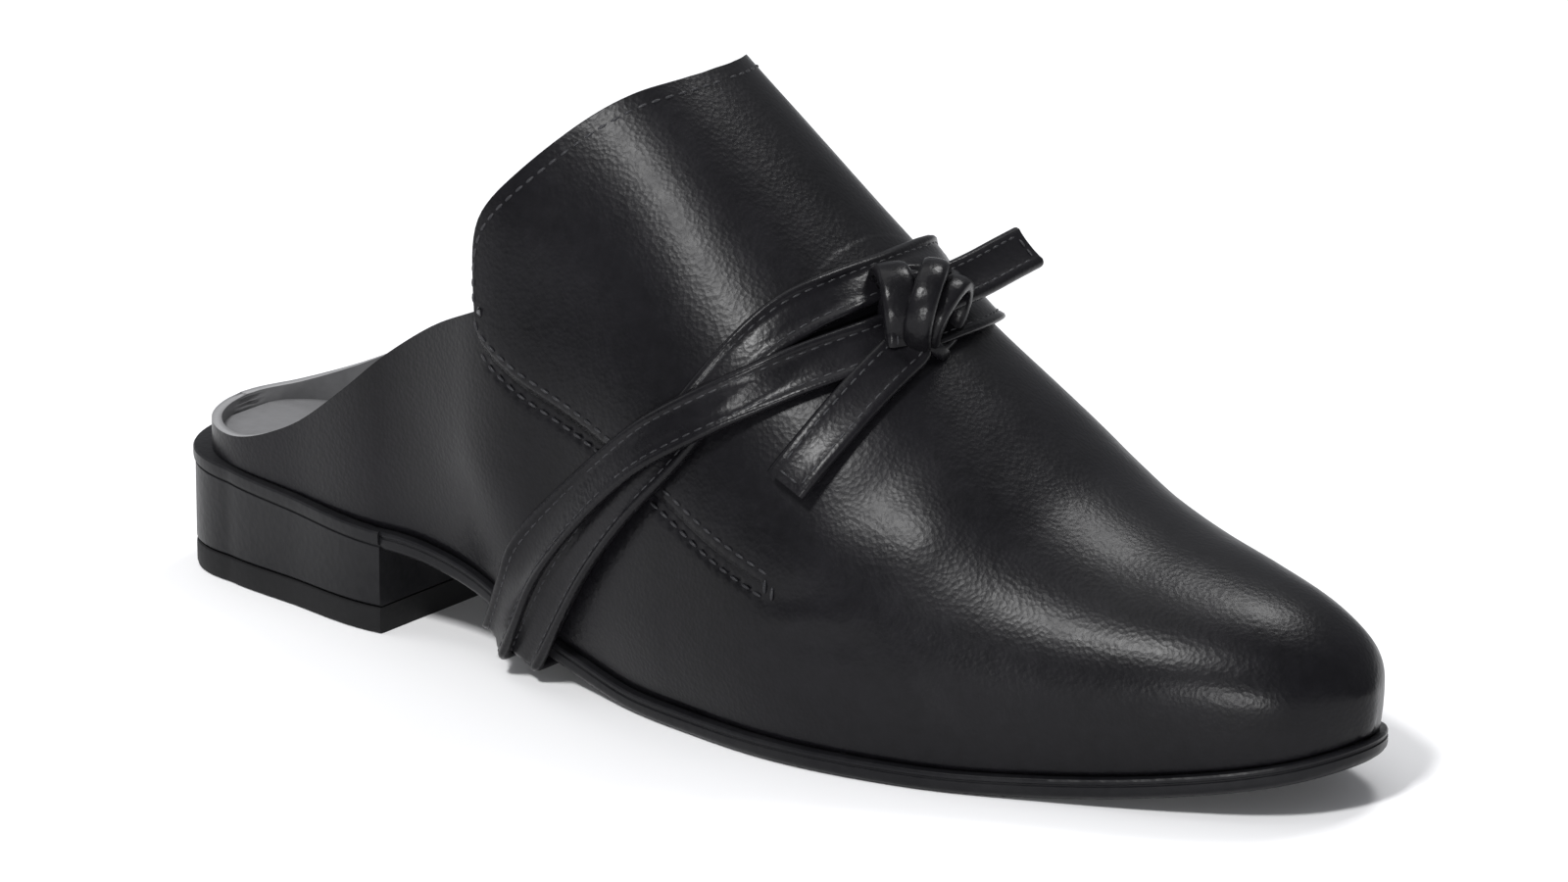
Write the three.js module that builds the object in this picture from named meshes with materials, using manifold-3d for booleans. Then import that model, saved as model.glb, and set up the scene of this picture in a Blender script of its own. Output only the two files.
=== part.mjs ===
// Mule shoe for the right foot, in black leather, with a leather tie round its waist
// Millimetres. +Y points to the toe, +X to the outer side of the foot and +Z up.
// Lengths are first measured from the back of the heel, and the group is centred at the end.

import * as THREE from "three";
import { mergeVertices } from "three/addons/utils/BufferGeometryUtils.js";
import Module from "manifold-3d";

const wasm = await Module();
wasm.setup();

// Driving dimensions of the last and the sole
const LENGTH = 257.5; // outsole, back of the heel to the tip of the toe
const SEAT_WIDTH = 44; // upper across the heel seat
const BALL_WIDTH = 77; // upper across the joints, at the outsole
const HEEL_LENGTH = 60;
const HEEL_BACK = 23.8; // height of the seat at its back edge
const HEEL_FRONT = 19.9; // height of the seat at the breast of the heel
const HEEL_TAPER = 0.4; // how much the block narrows down to the floor
const TOP_PIECE = 5; // wear layer under the heel block
const LEDGE_BACK = 3.9; // the block shows this far behind the upper
const LEDGE_SIDE = 1.1;
const LEDGE_BREAST = 1.9; // and this far beside it at the breast
const SOLE_THICKNESS = 4;
const SOLE_EDGE = 1.5; // the outsole shows this far beyond the upper
const SOLE_BEVEL = 1.3;
const TREAD_BACK = 126; // the sole lies on the floor from here
const TREAD_FRONT = 190; // to here
const TOE_SPRING = 8.5;
const TOE_OVERHANG = 1; // the toe of the upper leans out over its own seam
const TOE_SWING = 5; // the tip lies this far to the inner side of the heel's middle
const SWING_FROM = 130;
const WAIST_TO = 103; // the local half width grows from the seat's to the ball's up to here
const LEDGE_FADE = 24; // the back ledge narrows to the side ledge over this length
const RIM_ROUND = 0.7; // rounding at the top rim of the heel block
const TOP_PIECE_ROUND = 0.8; // rounding at the floor edge of the top piece

// Driving dimensions of the upper
const INSTEP_HEIGHT = 85; // ridge of the vamp at the foot of the tongue
const TONGUE_FOOT = 150;
const TONGUE_HEIGHT = 110.8; // top of the tongue on its ridge
const TONGUE_BACK = 116;
const QUARTER_HEIGHT = 56; // collar above the sole, where it meets the tongue
const WALL = 1.9;
const OVERLAY = 1.2; // the tongue piece stands this far proud of the quarter
const OVERLAY_FADE = 28; // and sinks into the vamp over this length
const INSOLE_THICKNESS = 3;

// Driving dimensions of the tie
const STRAP_WIDTH = 8.5;
const STRAP_THICKNESS = 2.2;
const STRAP_EASE = 0.72; // the bands stand this far off beyond the gap, for the vamp's shoulders
const STRAP_SLACK = 0.6; // the bands hang this far clear under the arch
const STRAP_ROUND = 0.6; // rounding of the tie's edges as a share of half its thickness
const KNOT_SIZE = { across: 17, along: 16, high: 15.5 };

// Pieces meet this far apart
const GAP = 0.3;
// Cutting solids reach this far past what they cut
const REACH = 80;
// Closed forms run this far below the sole's top before they are cut
const UNDER = 6;

// Sections of the upper, back to front: place along the length, half widths at the sole and at the
// fullest level as shares of the local half width, height of the fullest level as a share of the
// quarter's height, and how square the section is
const SECTIONS = [
  { at: 0.0151, outer: 0.0, inner: 0.0, fullOuter: 0.0, fullInner: 0.0, full: 0.1, square: 2.2 },
  { at: 0.031, outer: 0.59, inner: 0.59, fullOuter: 0.59, fullInner: 0.59, full: 0.11, square: 2.2 },
  { at: 0.07, outer: 0.89, inner: 0.89, fullOuter: 0.9, fullInner: 0.9, full: 0.13, square: 2.2 },
  { at: 0.14, outer: 1.03, inner: 1.02, fullOuter: 1.05, fullInner: 1.05, full: 0.19, square: 2.3 },
  { at: 0.233, outer: 1.16, inner: 1.1, fullOuter: 1.24, fullInner: 1.2, full: 0.34, square: 2.4 },
  { at: 0.326, outer: 0.8, inner: 0.69, fullOuter: 1.035, fullInner: 1.03, full: 0.5, square: 2.4 },
  { at: 0.419, outer: 0.76, inner: 0.6, fullOuter: 0.92, fullInner: 0.87, full: 0.5, square: 2.4 },
  { at: 0.52, outer: 0.91, inner: 0.8, fullOuter: 1.01, fullInner: 0.93, full: 0.41, square: 2.2 },
  { at: 0.621, outer: 1.01, inner: 0.97, fullOuter: 1.07, fullInner: 1.03, full: 0.3, square: 2.05 },
  { at: 0.722, outer: 0.95, inner: 0.985, fullOuter: 1.0, fullInner: 1.04, full: 0.25, square: 2.0 },
  { at: 0.816, outer: 0.765, inner: 0.81, fullOuter: 0.82, fullInner: 0.87, full: 0.25, square: 2.05 },
  { at: 0.901, outer: 0.59, inner: 0.56, fullOuter: 0.645, fullInner: 0.605, full: 0.23, square: 2.1 },
  { at: 0.948, outer: 0.47, inner: 0.42, fullOuter: 0.51, fullInner: 0.455, full: 0.18, square: 2.1 },
  { at: 0.975, outer: 0.34, inner: 0.295, fullOuter: 0.38, fullInner: 0.335, full: 0.155, square: 2.1 },
  { at: 0.9942, outer: 0.0, inner: 0.0, fullOuter: 0.13, fullInner: 0.11, full: 0.14, square: 2.1 },
];

// Ridge of the vamp from the foot of the tongue to the tip, as shares of the instep's height
const RIDGE = [
  { at: 0.583, high: 1.0 },
  { at: 0.62, high: 0.915 },
  { at: 0.65, high: 0.847 },
  { at: 0.68, high: 0.782 },
  { at: 0.713, high: 0.708 },
  { at: 0.745, high: 0.632 },
  { at: 0.78, high: 0.56 },
  { at: 0.827, high: 0.5 },
  { at: 0.877, high: 0.462 },
  { at: 0.928, high: 0.422 },
  { at: 0.955, high: 0.388 },
  { at: 0.982, high: 0.327 },
  { at: 0.993, high: 0.275 },
];

// Collar from the back to the tongue: height above the sole as a share of the quarter's height
const COLLAR = [
  { at: 0.012, outer: 0.105, inner: 0.105 },
  { at: 0.03, outer: 0.1, inner: 0.115 },
  { at: 0.06, outer: 0.102, inner: 0.17 },
  { at: 0.088, outer: 0.128, inner: 0.235 },
  { at: 0.12, outer: 0.19, inner: 0.31 },
  { at: 0.155, outer: 0.285, inner: 0.39 },
  { at: 0.202, outer: 0.455, inner: 0.51 },
  { at: 0.245, outer: 0.625, inner: 0.64 },
  { at: 0.295, outer: 0.81, inner: 0.82 },
  { at: 0.348, outer: 1.0, inner: 1.04 },
];

// Edge of the tongue from the collar up to its ridge: place along the length, and height as a share
// of the rise from the collar to the top of the tongue
const TONGUE_EDGE = [
  { at: 0.348, up: 0.0 },
  { at: 0.345, up: 0.14 },
  { at: 0.343, up: 0.27 },
  { at: 0.3455, up: 0.38 },
  { at: 0.3545, up: 0.48 },
  { at: 0.373, up: 0.61 },
  { at: 0.408, up: 0.83 },
  { at: 0.432, up: 0.945 },
  { at: 0.4525, up: 1.0 },
  { at: 0.478, up: 1.07 },
];

// Lower edge of the tongue piece, from the collar down to the end of the seam: height above the
// sole as a share of the quarter's height
const SEAM = [
  { at: 0.348, outer: 1.0, inner: 1.04 },
  { at: 0.354, outer: 0.91, inner: 0.96 },
  { at: 0.381, outer: 0.875, inner: 0.93 },
  { at: 0.414, outer: 0.855, inner: 0.91 },
  { at: 0.478, outer: 0.8, inner: 0.85 },
  { at: 0.524, outer: 0.7, inner: 0.76 },
  { at: 0.569, outer: 0.595, inner: 0.655 },
  { at: 0.617, outer: 0.51, inner: 0.565 },
];

// Side-view middles of the tie's two turns, from the sole's underside up to the ridge: place along
// the length, and height as a share of the instep's height
const REAR_TURN = [
  { at: 0.346, up: 0.115 },
  { at: 0.372, up: 0.175 },
  { at: 0.392, up: 0.255 },
  { at: 0.4185, up: 0.395 },
  { at: 0.466, up: 0.54 },
  { at: 0.515, up: 0.643 },
  { at: 0.571, up: 0.745 },
  { at: 0.61, up: 0.812 },
  { at: 0.645, up: 0.86 },
];
const FRONT_TURN = [
  { at: 0.381, up: 0.07 },
  { at: 0.398, up: 0.135 },
  { at: 0.4175, up: 0.215 },
  { at: 0.433, up: 0.295 },
  { at: 0.459, up: 0.4 },
  { at: 0.492, up: 0.512 },
  { at: 0.525, up: 0.612 },
  { at: 0.553, up: 0.735 },
  { at: 0.586, up: 0.895 },
  { at: 0.61, up: 0.945 },
];

// Knot, and the free ends that leave it: middles of the flat tie, chosen by eye
const KNOT_AT = new THREE.Vector3(7.5, 166.5, 77);
const NEAR_END = [
  { y: 168, z: 72.5 },
  { y: 167.5, z: 67.5 },
  { y: 165.8, z: 61.5 },
  { y: 163.5, z: 55.5 },
  { y: 161, z: 50 },
];
const RIDGE_SHY = 2; // the near end starts this far below the ridge
const FAR_END = [
  new THREE.Vector3(1, 168, 78.4),
  new THREE.Vector3(-10, 168.8, 80.8),
  new THREE.Vector3(-16.5, 168.8, 82),
  new THREE.Vector3(-22.5, 168.5, 82.6),
];
const FAR_END_FACE = new THREE.Vector3(0, 0.25, 1).normalize();

// Steps of the faceted forms
const STATIONS = 42;
const STEPS_ABOVE = 11;
const STEPS_BELOW = 5;
const SOLE_STATIONS = 40;
const HEEL_STATIONS = 22;
const TURN_STEPS = 42;
const TURN_SAMPLES = 150;
const EDGE_STEPS = 22;
const KNOT_STEPS = { round: 14, high: 10 };
const SLOPE_STEP = 0.5;

// Rounded lower edge of the outsole, in shares of its bevel
const SOLE_ROUND = [
  { inset: 1, up: 0 },
  { inset: 0.3, up: 0.5 },
  { inset: 0, up: 1.2 },
];
const SOLE_TOP_ROUND = 0.3;

// Tolerances
const TINY = 1e-6;
const WELD = 1e-4;

const OUTER = 1;
const INNER = -1;
const SEAM_FRONT = SEAM[SEAM.length - 1].at * LENGTH;
const UPPER_BACK = LEDGE_BACK;
const UPPER_FRONT = LENGTH - SOLE_EDGE;
const TIP = UPPER_FRONT + TOE_OVERHANG;

const clamp = THREE.MathUtils.clamp;
const lerp = THREE.MathUtils.lerp;
const smooth = (t) => THREE.MathUtils.smoothstep(t, 0, 1);

// Turns a place along the shoe into an angle, so that a form that is smooth in it rounds off at both ends
function angleAt(y, front) {
  return Math.acos(clamp(1 - (2 * (y - UPPER_BACK)) / (front - UPPER_BACK), -1, 1));
}

// Smooth curve through a table's rows at place y
function readTable(rows, column, y, front = TIP) {
  const knots = rows.map((row) => angleAt(row.at * LENGTH, front));
  const a = angleAt(y, front);
  let k = 0;
  while (k < rows.length - 2 && a > knots[k + 1]) k++;
  const slope = (i) => {
    const b = Math.max(i - 1, 0);
    const f = Math.min(i + 1, rows.length - 1);
    return (rows[f][column] - rows[b][column]) / (knots[f] - knots[b]);
  };
  const span = knots[k + 1] - knots[k];
  const t = clamp((a - knots[k]) / span, 0, 1);
  const t2 = t * t;
  const t3 = t2 * t;
  return (
    (2 * t3 - 3 * t2 + 1) * rows[k][column] +
    (t3 - 2 * t2 + t) * span * slope(k) +
    (3 * t2 - 2 * t3) * rows[k + 1][column] +
    (t3 - t2) * span * slope(k + 1)
  );
}

// The last
function middleAt(y) {
  const t = Math.max(0, (y - SWING_FROM) / (LENGTH - SWING_FROM));
  return -TOE_SWING * t * t;
}

function soleTop(y) {
  if (y < HEEL_LENGTH) return lerp(HEEL_BACK, HEEL_FRONT, y / HEEL_LENGTH);
  if (y < TREAD_BACK) {
    const t = (y - HEEL_LENGTH) / (TREAD_BACK - HEEL_LENGTH);
    return lerp(HEEL_FRONT, SOLE_THICKNESS, smooth(t));
  }
  const t = Math.max(0, (y - TREAD_FRONT) / (LENGTH - TREAD_FRONT));
  return SOLE_THICKNESS + TOE_SPRING * t * t;
}

function localHalfWidth(y) {
  const waist = smooth((y - HEEL_LENGTH) / (WAIST_TO - HEEL_LENGTH));
  return lerp(SEAT_WIDTH, BALL_WIDTH, waist) / 2;
}

const sideName = (side) => (side === OUTER ? "outer" : "inner");

// Half width of the upper at the sole, from the middle line
function footHalf(y, side) {
  if (y >= UPPER_FRONT) return 0;
  return Math.max(0, readTable(SECTIONS, sideName(side), y, UPPER_FRONT) * localHalfWidth(y));
}

// Half width of the upper at its fullest level
function fullHalf(y, side) {
  if (y >= TIP) return 0;
  const rows = [...SECTIONS, { at: TIP / LENGTH, fullOuter: 0, fullInner: 0 }];
  const column = side === OUTER ? "fullOuter" : "fullInner";
  return Math.max(footHalf(y, side), readTable(rows, column, y) * localHalfWidth(y));
}

function fullHeight(y) {
  return soleTop(y) + readTable(SECTIONS, "full", y) * QUARTER_HEIGHT;
}

function ridgeHeight(y) {
  if (y < TONGUE_FOOT) {
    return lerp(TONGUE_HEIGHT, INSTEP_HEIGHT, (y - TONGUE_BACK) / (TONGUE_FOOT - TONGUE_BACK));
  }
  const tip = { at: TIP / LENGTH, high: fullHeight(TIP) / INSTEP_HEIGHT };
  return readTable([...RIDGE, tip], "high", y) * INSTEP_HEIGHT;
}

// Lowest level of the closed form: below the sole's top, and rising under the tip
function underHeight(y) {
  const past = clamp((y - UPPER_FRONT) / TOE_OVERHANG, 0, 1);
  return lerp(fullHeight(y), soleTop(y), Math.sqrt(1 - past * past));
}

// Half width of the upper's outside at place y and height z
function halfAt(y, z, side) {
  const full = fullHalf(y, side);
  const level = fullHeight(y);
  if (z >= level) {
    const power = readTable(SECTIONS, "square", y);
    const rise = clamp((z - level) / (ridgeHeight(y) - level), 0, 1);
    return full * (1 - rise ** power) ** (1 / power);
  }
  const foot = footHalf(y, side);
  const drop = (level - z) / Math.max(level - underHeight(y), TINY);
  return Math.sqrt(Math.max(0, full * full - (full * full - foot * foot) * drop * drop));
}

// Grid of the outside: a loop of points at each station, from the outer foot over the ridge
function outsideGrid() {
  const grid = [];
  for (let i = 0; i <= STATIONS; i++) {
    const y = lerp(UPPER_BACK, TIP, (1 - Math.cos((Math.PI * i) / STATIONS)) / 2);
    const level = fullHeight(y);
    const depth = level - underHeight(y);
    const power = readTable(SECTIONS, "square", y);
    const sides = [OUTER, INNER].map((side) => ({
      full: fullHalf(y, side) ** 2,
      foot: footHalf(y, side) ** 2,
    }));
    const reachDown = sides.map((s) => Math.sqrt(s.full / Math.max(s.full - s.foot, TINY)));
    const wanted = 1 + UNDER / Math.max(depth, 1);
    const drop = i > 0 ? Math.min(wanted, ...reachDown) : wanted;
    const heights = [];
    for (let j = 0; j < STEPS_BELOW; j++) {
      const turn = (Math.PI / 2) * (1 - j / STEPS_BELOW);
      heights.push(level - depth * drop * Math.sin(turn));
    }
    for (let j = 0; j <= STEPS_ABOVE; j++) {
      const turn = (Math.PI / 2) * (j / STEPS_ABOVE);
      heights.push(level + (ridgeHeight(y) - level) * Math.sin(turn) ** (2 / power));
    }
    const closed = i === 0 || i === STATIONS;
    const place = (z, side) => {
      const half = closed ? 0 : halfAt(y, z, side);
      return new THREE.Vector3(middleAt(y) + side * half, y, i === STATIONS ? level : z);
    };
    const up = heights.map((z) => place(z, OUTER));
    const down = heights.slice(0, -1).map((z) => place(z, INNER)).reverse();
    grid.push([...up, ...down]);
  }
  return grid;
}

// Moves a grid along its own normals by a distance that may depend on the place
function offsetGrid(grid, distanceAt) {
  const last = grid.length - 1;
  return grid.map((loop, i) =>
    loop.map((point, j) => {
      const ahead = grid[Math.min(i + 1, last)][j];
      const behind = grid[Math.max(i - 1, 0)][j];
      const along = new THREE.Vector3().subVectors(ahead, behind);
      const before = loop[Math.max(j - 1, 0)];
      const after = loop[Math.min(j + 1, loop.length - 1)];
      const around = new THREE.Vector3().subVectors(after, before);
      const normal = new THREE.Vector3().crossVectors(along, around).normalize();
      if (i === 0) normal.set(0, -1, 0);
      if (i === last) normal.set(0, 1, 0);
      return point.clone().addScaledVector(normal, distanceAt(point));
    }),
  );
}

// Builds a closed mesh from points and triangles, and leaves out triangles that have no area
function solidFrom(points, triangles) {
  const geometry = new THREE.BufferGeometry();
  const places = points.flatMap((p) => p.toArray());
  geometry.setAttribute("position", new THREE.Float32BufferAttribute(places, 3));
  geometry.setIndex(triangles.flat());
  return toManifold(geometry);
}

function toManifold(source) {
  const geometry = source.clone();
  geometry.deleteAttribute("normal");
  geometry.deleteAttribute("uv");
  const merged = mergeVertices(geometry, WELD);
  const index = [];
  for (let t = 0; t < merged.index.count; t += 3) {
    const [a, b, c] = [0, 1, 2].map((k) => merged.index.getX(t + k));
    if (a !== b && b !== c && c !== a) index.push(a, b, c);
  }
  return new wasm.Manifold(
    new wasm.Mesh({
      numProp: 3,
      vertProperties: new Float32Array(merged.attributes.position.array),
      triVerts: new Uint32Array(index),
    }),
  );
}

// Solid inside a grid of loops, with a flat underside across each loop
function loftSolid(grid) {
  const wide = grid[0].length;
  const triangles = [];
  for (let i = 0; i < grid.length - 1; i++) {
    for (let j = 0; j < wide; j++) {
      const a = i * wide + j;
      const b = i * wide + ((j + 1) % wide);
      const c = (i + 1) * wide + ((j + 1) % wide);
      const d = (i + 1) * wide + j;
      triangles.push([a, c, b], [a, d, c]);
    }
  }
  return solidFrom(grid.flat(), triangles);
}

// Solid between stacked outlines, each an array of stations with an outer and an inner point
function layeredSolid(levels) {
  const count = levels[0].length;
  const points = [];
  const id = (level, station, side) => (level * count + station) * 2 + side;
  levels.forEach((level) => level.forEach((s) => points.push(s.outer, s.inner)));
  const triangles = [];
  const quad = (a, b, c, d) => triangles.push([a, b, c], [a, c, d]);
  for (let s = 0; s < count - 1; s++) {
    quad(id(0, s, 0), id(0, s, 1), id(0, s + 1, 1), id(0, s + 1, 0));
    const top = levels.length - 1;
    quad(id(top, s, 0), id(top, s + 1, 0), id(top, s + 1, 1), id(top, s, 1));
    for (let l = 0; l < top; l++) {
      quad(id(l, s, 0), id(l, s + 1, 0), id(l + 1, s + 1, 0), id(l + 1, s, 0));
      quad(id(l, s + 1, 1), id(l, s, 1), id(l + 1, s, 1), id(l + 1, s + 1, 1));
    }
  }
  for (let l = 0; l < levels.length - 1; l++) {
    const e = count - 1;
    quad(id(l, 0, 1), id(l, 0, 0), id(l + 1, 0, 0), id(l + 1, 0, 1));
    quad(id(l, e, 0), id(l, e, 1), id(l + 1, e, 1), id(l + 1, e, 0));
  }
  return solidFrom(points, triangles);
}

// Solid that runs across the shoe behind an outline drawn in the side view, from one x to another
function sidePrism(outline, fromX, toX) {
  const shape = new THREE.Shape(outline.map(([y, z]) => new THREE.Vector2(y, z)));
  const geometry = new THREE.ExtrudeGeometry(shape, { depth: toX - fromX, bevelEnabled: false });
  const turn = new THREE.Matrix4().makeBasis(
    new THREE.Vector3(0, 1, 0),
    new THREE.Vector3(0, 0, 1),
    new THREE.Vector3(1, 0, 0),
  );
  geometry.applyMatrix4(turn);
  geometry.translate(fromX, 0, 0);
  return toManifold(geometry);
}

// Line in the side view at a fixed height above the sole's top
function soleLine(rise, from = -REACH, to = LENGTH + REACH) {
  const line = [];
  for (let i = 0; i <= SOLE_STATIONS; i++) {
    const y = lerp(UPPER_BACK, TIP, i / SOLE_STATIONS);
    line.push([y, soleTop(y) + rise]);
  }
  return [[from, line[0][1]], ...line, [to, line[SOLE_STATIONS][1]]];
}

const aboveLine = (line) => [...line, [LENGTH + REACH, 4 * REACH], [-REACH, 4 * REACH]];

// Smooth line through side-view points
function smoothLine(points) {
  const curve = new THREE.SplineCurve(points.map(([y, z]) => new THREE.Vector2(y, z)));
  return curve.getPoints(EDGE_STEPS).map((p) => [p.x, p.y]);
}

// Side-view points of a table that gives heights above the sole as shares of the quarter's height
function aboveSole(rows, side) {
  return rows.map((row) => {
    const y = row.at * LENGTH;
    return [y, soleTop(y) + row[sideName(side)] * QUARTER_HEIGHT];
  });
}

// Collar, then the tongue's edge, as one line in the side view
function topEdge(side) {
  const collar = aboveSole(COLLAR, side);
  const corner = collar[collar.length - 1][1];
  const tongue = TONGUE_EDGE.map((row) => [row.at * LENGTH, lerp(corner, TONGUE_HEIGHT, row.up)]);
  return [...smoothLine(collar), ...smoothLine(tongue).slice(1)];
}

function belowTopEdge(side) {
  const edge = topEdge(side);
  const end = edge[edge.length - 1];
  const over = TONGUE_HEIGHT + REACH;
  const ahead = LENGTH + REACH;
  const around = [[end[0], over], [ahead, over], [ahead, -REACH], [-REACH, -REACH]];
  return [[-REACH, edge[0][1]], ...edge, ...around].reverse();
}

// How far the tongue piece stands proud of the last at place y; it sinks inside ahead of the seam
function proudAt(y) {
  const fade = clamp((SEAM_FRONT - y) / OVERLAY_FADE, 0, 1);
  return y < SEAM_FRONT ? OVERLAY * Math.sqrt(fade) : -GAP;
}

function aboveSeam(side) {
  const line = smoothLine(aboveSole(SEAM, side));
  const [cornerY, cornerZ] = line[0];
  const end = line[line.length - 1];
  const over = TONGUE_HEIGHT + REACH;
  const back = cornerY - REACH;
  const ahead = SEAM_FRONT + 2 * OVERLAY_FADE;
  return [...line, [ahead, end[1]], [ahead, over], [back, over], [back, cornerZ + 1]];
}

const outside = outsideGrid();

// The hollow upper
function upperSolid() {
  const body = loftSolid(outside);
  const proud = loftSolid(offsetGrid(outside, (p) => proudAt(p.y)));
  const hollow = loftSolid(offsetGrid(outside, () => -WALL));
  const halves = [OUTER, INNER].map((side) => {
    const fromX = side === OUTER ? 0 : -REACH;
    const toX = side === OUTER ? REACH : 0;
    const piece = proud.intersect(sidePrism(aboveSeam(side), fromX, toX));
    return body.add(piece).intersect(sidePrism(belowTopEdge(side), fromX, toX));
  });
  const whole = halves[0].add(halves[1]);
  return whole.subtract(hollow).intersect(sidePrism(aboveLine(soleLine(GAP)), -REACH, REACH));
}

function insoleSolid() {
  const inside = loftSolid(offsetGrid(outside, () => -WALL - GAP));
  const base = sidePrism(aboveLine(soleLine(GAP)), -REACH, REACH);
  const over = sidePrism(aboveLine(soleLine(GAP + INSOLE_THICKNESS)), -REACH, REACH);
  return inside.intersect(base).subtract(over);
}

// Stations along the sole's outline, moved outwards by a margin that may depend on the place
function outline(from, to, count, marginAt, heightAt) {
  const stations = [];
  for (let i = 0; i <= count; i++) {
    const t = i / count;
    const y = lerp(from, to, t);
    const sides = [OUTER, INNER].map((side) => {
      const edge = (v) => middleAt(v) + side * footHalf(v, side);
      const a = clamp(y - SLOPE_STEP, UPPER_BACK, UPPER_FRONT);
      const b = clamp(y + SLOPE_STEP, UPPER_BACK, UPPER_FRONT);
      const tangent = new THREE.Vector2(edge(b) - edge(a), b - a).normalize();
      const normal = new THREE.Vector2(side * tangent.y, -side * tangent.x);
      if (y <= UPPER_BACK) normal.set(0, -1);
      if (y >= UPPER_FRONT) normal.set(0, 1);
      const margin = marginAt(y, side);
      return new THREE.Vector2(edge(y), y).addScaledVector(normal, margin);
    });
    stations.push({
      outer: new THREE.Vector3(sides[0].x, sides[0].y, heightAt(sides[0].y)),
      inner: new THREE.Vector3(sides[1].x, sides[1].y, heightAt(sides[1].y)),
    });
  }
  return stations;
}

// Spreads stations so that the round ends get short steps
function roundOutline(from, to, count, marginAt, heightAt) {
  const all = [];
  const turn = (y) => angleAt(y, UPPER_FRONT);
  for (let i = 0; i < count; i++) {
    const a = lerp(turn(from), turn(to), i / count);
    const b = lerp(turn(from), turn(to), (i + 1) / count);
    const place = (v) => lerp(UPPER_BACK, UPPER_FRONT, (1 - Math.cos(v)) / 2);
    const pair = outline(place(a), place(b), 1, marginAt, heightAt);
    if (i === 0) all.push(pair[0]);
    all.push(pair[1]);
  }
  return all;
}

// The outsole is tucked into the heel block, and shows its edge from the breast forwards
function soleMargin(y) {
  return lerp(-GAP, SOLE_EDGE, smooth((y - HEEL_LENGTH + LEDGE_BACK) / LEDGE_BACK));
}

function outsoleSolid(grow = 0) {
  const layer = (inset, depth) =>
    roundOutline(
      UPPER_BACK,
      UPPER_FRONT,
      SOLE_STATIONS,
      (y) => soleMargin(y) - inset + grow,
      (y) => soleTop(y) - depth,
    );
  const lowest = SOLE_THICKNESS + grow;
  return layeredSolid([
    ...SOLE_ROUND.map((row) => layer(SOLE_BEVEL * row.inset, lowest - SOLE_BEVEL * row.up)),
    layer(0, SOLE_BEVEL * SOLE_TOP_ROUND),
    layer(SOLE_BEVEL * SOLE_TOP_ROUND, -grow),
  ]);
}

function ledgeAt(y) {
  const back = LEDGE_BACK * (1 - smooth((y - UPPER_BACK) / LEDGE_FADE));
  const side = lerp(LEDGE_SIDE, LEDGE_BREAST, smooth(y / HEEL_LENGTH));
  return Math.max(back, side);
}

// Heel outline at one level, ended square at the breast
function heelLayer(inset, heightAt) {
  const margin = (y) => ledgeAt(y) - inset;
  const stations = roundOutline(UPPER_BACK, HEEL_LENGTH, HEEL_STATIONS, margin, heightAt);
  const end = stations[stations.length - 1];
  end.outer.setY(HEEL_LENGTH).setZ(heightAt(HEEL_LENGTH));
  end.inner.setY(HEEL_LENGTH).setZ(heightAt(HEEL_LENGTH));
  return stations;
}

function heelSolid() {
  const block = layeredSolid([
    heelLayer(HEEL_TAPER, () => TOP_PIECE + GAP),
    heelLayer(0, (y) => soleTop(y) - RIM_ROUND),
    heelLayer(RIM_ROUND, (y) => soleTop(y)),
  ]);
  return block.subtract(outsoleSolid(GAP));
}

function topPieceSolid() {
  return layeredSolid([
    heelLayer(HEEL_TAPER + TOP_PIECE_ROUND, () => 0),
    heelLayer(HEEL_TAPER, () => TOP_PIECE_ROUND),
    heelLayer(HEEL_TAPER, () => TOP_PIECE),
  ]);
}

// Outside of upper and sole at place y and height z, or null off the shoe
function girthAt(y, z, side) {
  if (z > soleTop(y)) {
    const proud = Math.max(0, proudAt(y));
    if (z > ridgeHeight(y) + proud) return null;
    return halfAt(y, Math.min(z, ridgeHeight(y)), side) + proud + side * middleAt(y);
  }
  if (z < soleTop(y) - SOLE_THICKNESS) return null;
  return footHalf(y, side) + SOLE_EDGE + side * middleAt(y);
}

// Convex outline of points in the plane, counter-clockwise
function convexOutline(points) {
  const sorted = [...points].sort((a, b) => a.x - b.x || a.y - b.y);
  const half = (list) => {
    const chain = [];
    for (const p of list) {
      while (chain.length > 1) {
        const [a, b] = chain.slice(-2);
        if ((b.x - a.x) * (p.y - a.y) - (b.y - a.y) * (p.x - a.x) > 0) break;
        chain.pop();
      }
      chain.push(p);
    }
    return chain.slice(0, -1);
  };
  return [...half(sorted), ...half(sorted.reverse())];
}

// Side-view path of a turn, run straight on at both ends
function turnPath(rows) {
  const points = rows.map((row) => new THREE.Vector2(row.at * LENGTH, row.up * INSTEP_HEIGHT));
  const curve = new THREE.SplineCurve(points);
  const length = curve.getLength();
  return (distance, shift) => {
    const share = clamp(distance / length, 0, 1);
    const along = curve.getTangentAt(share);
    const place = curve.getPointAt(share).addScaledVector(along, distance - share * length);
    return place.add(new THREE.Vector2(-along.y, along.x).multiplyScalar(shift));
  };
}

// The closed form of the upper's outside, grown by a margin beyond its tongue piece
function skinSolid(margin) {
  return loftSolid(offsetGrid(outside, (p) => Math.max(0, proudAt(p.y)) + margin));
}

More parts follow.
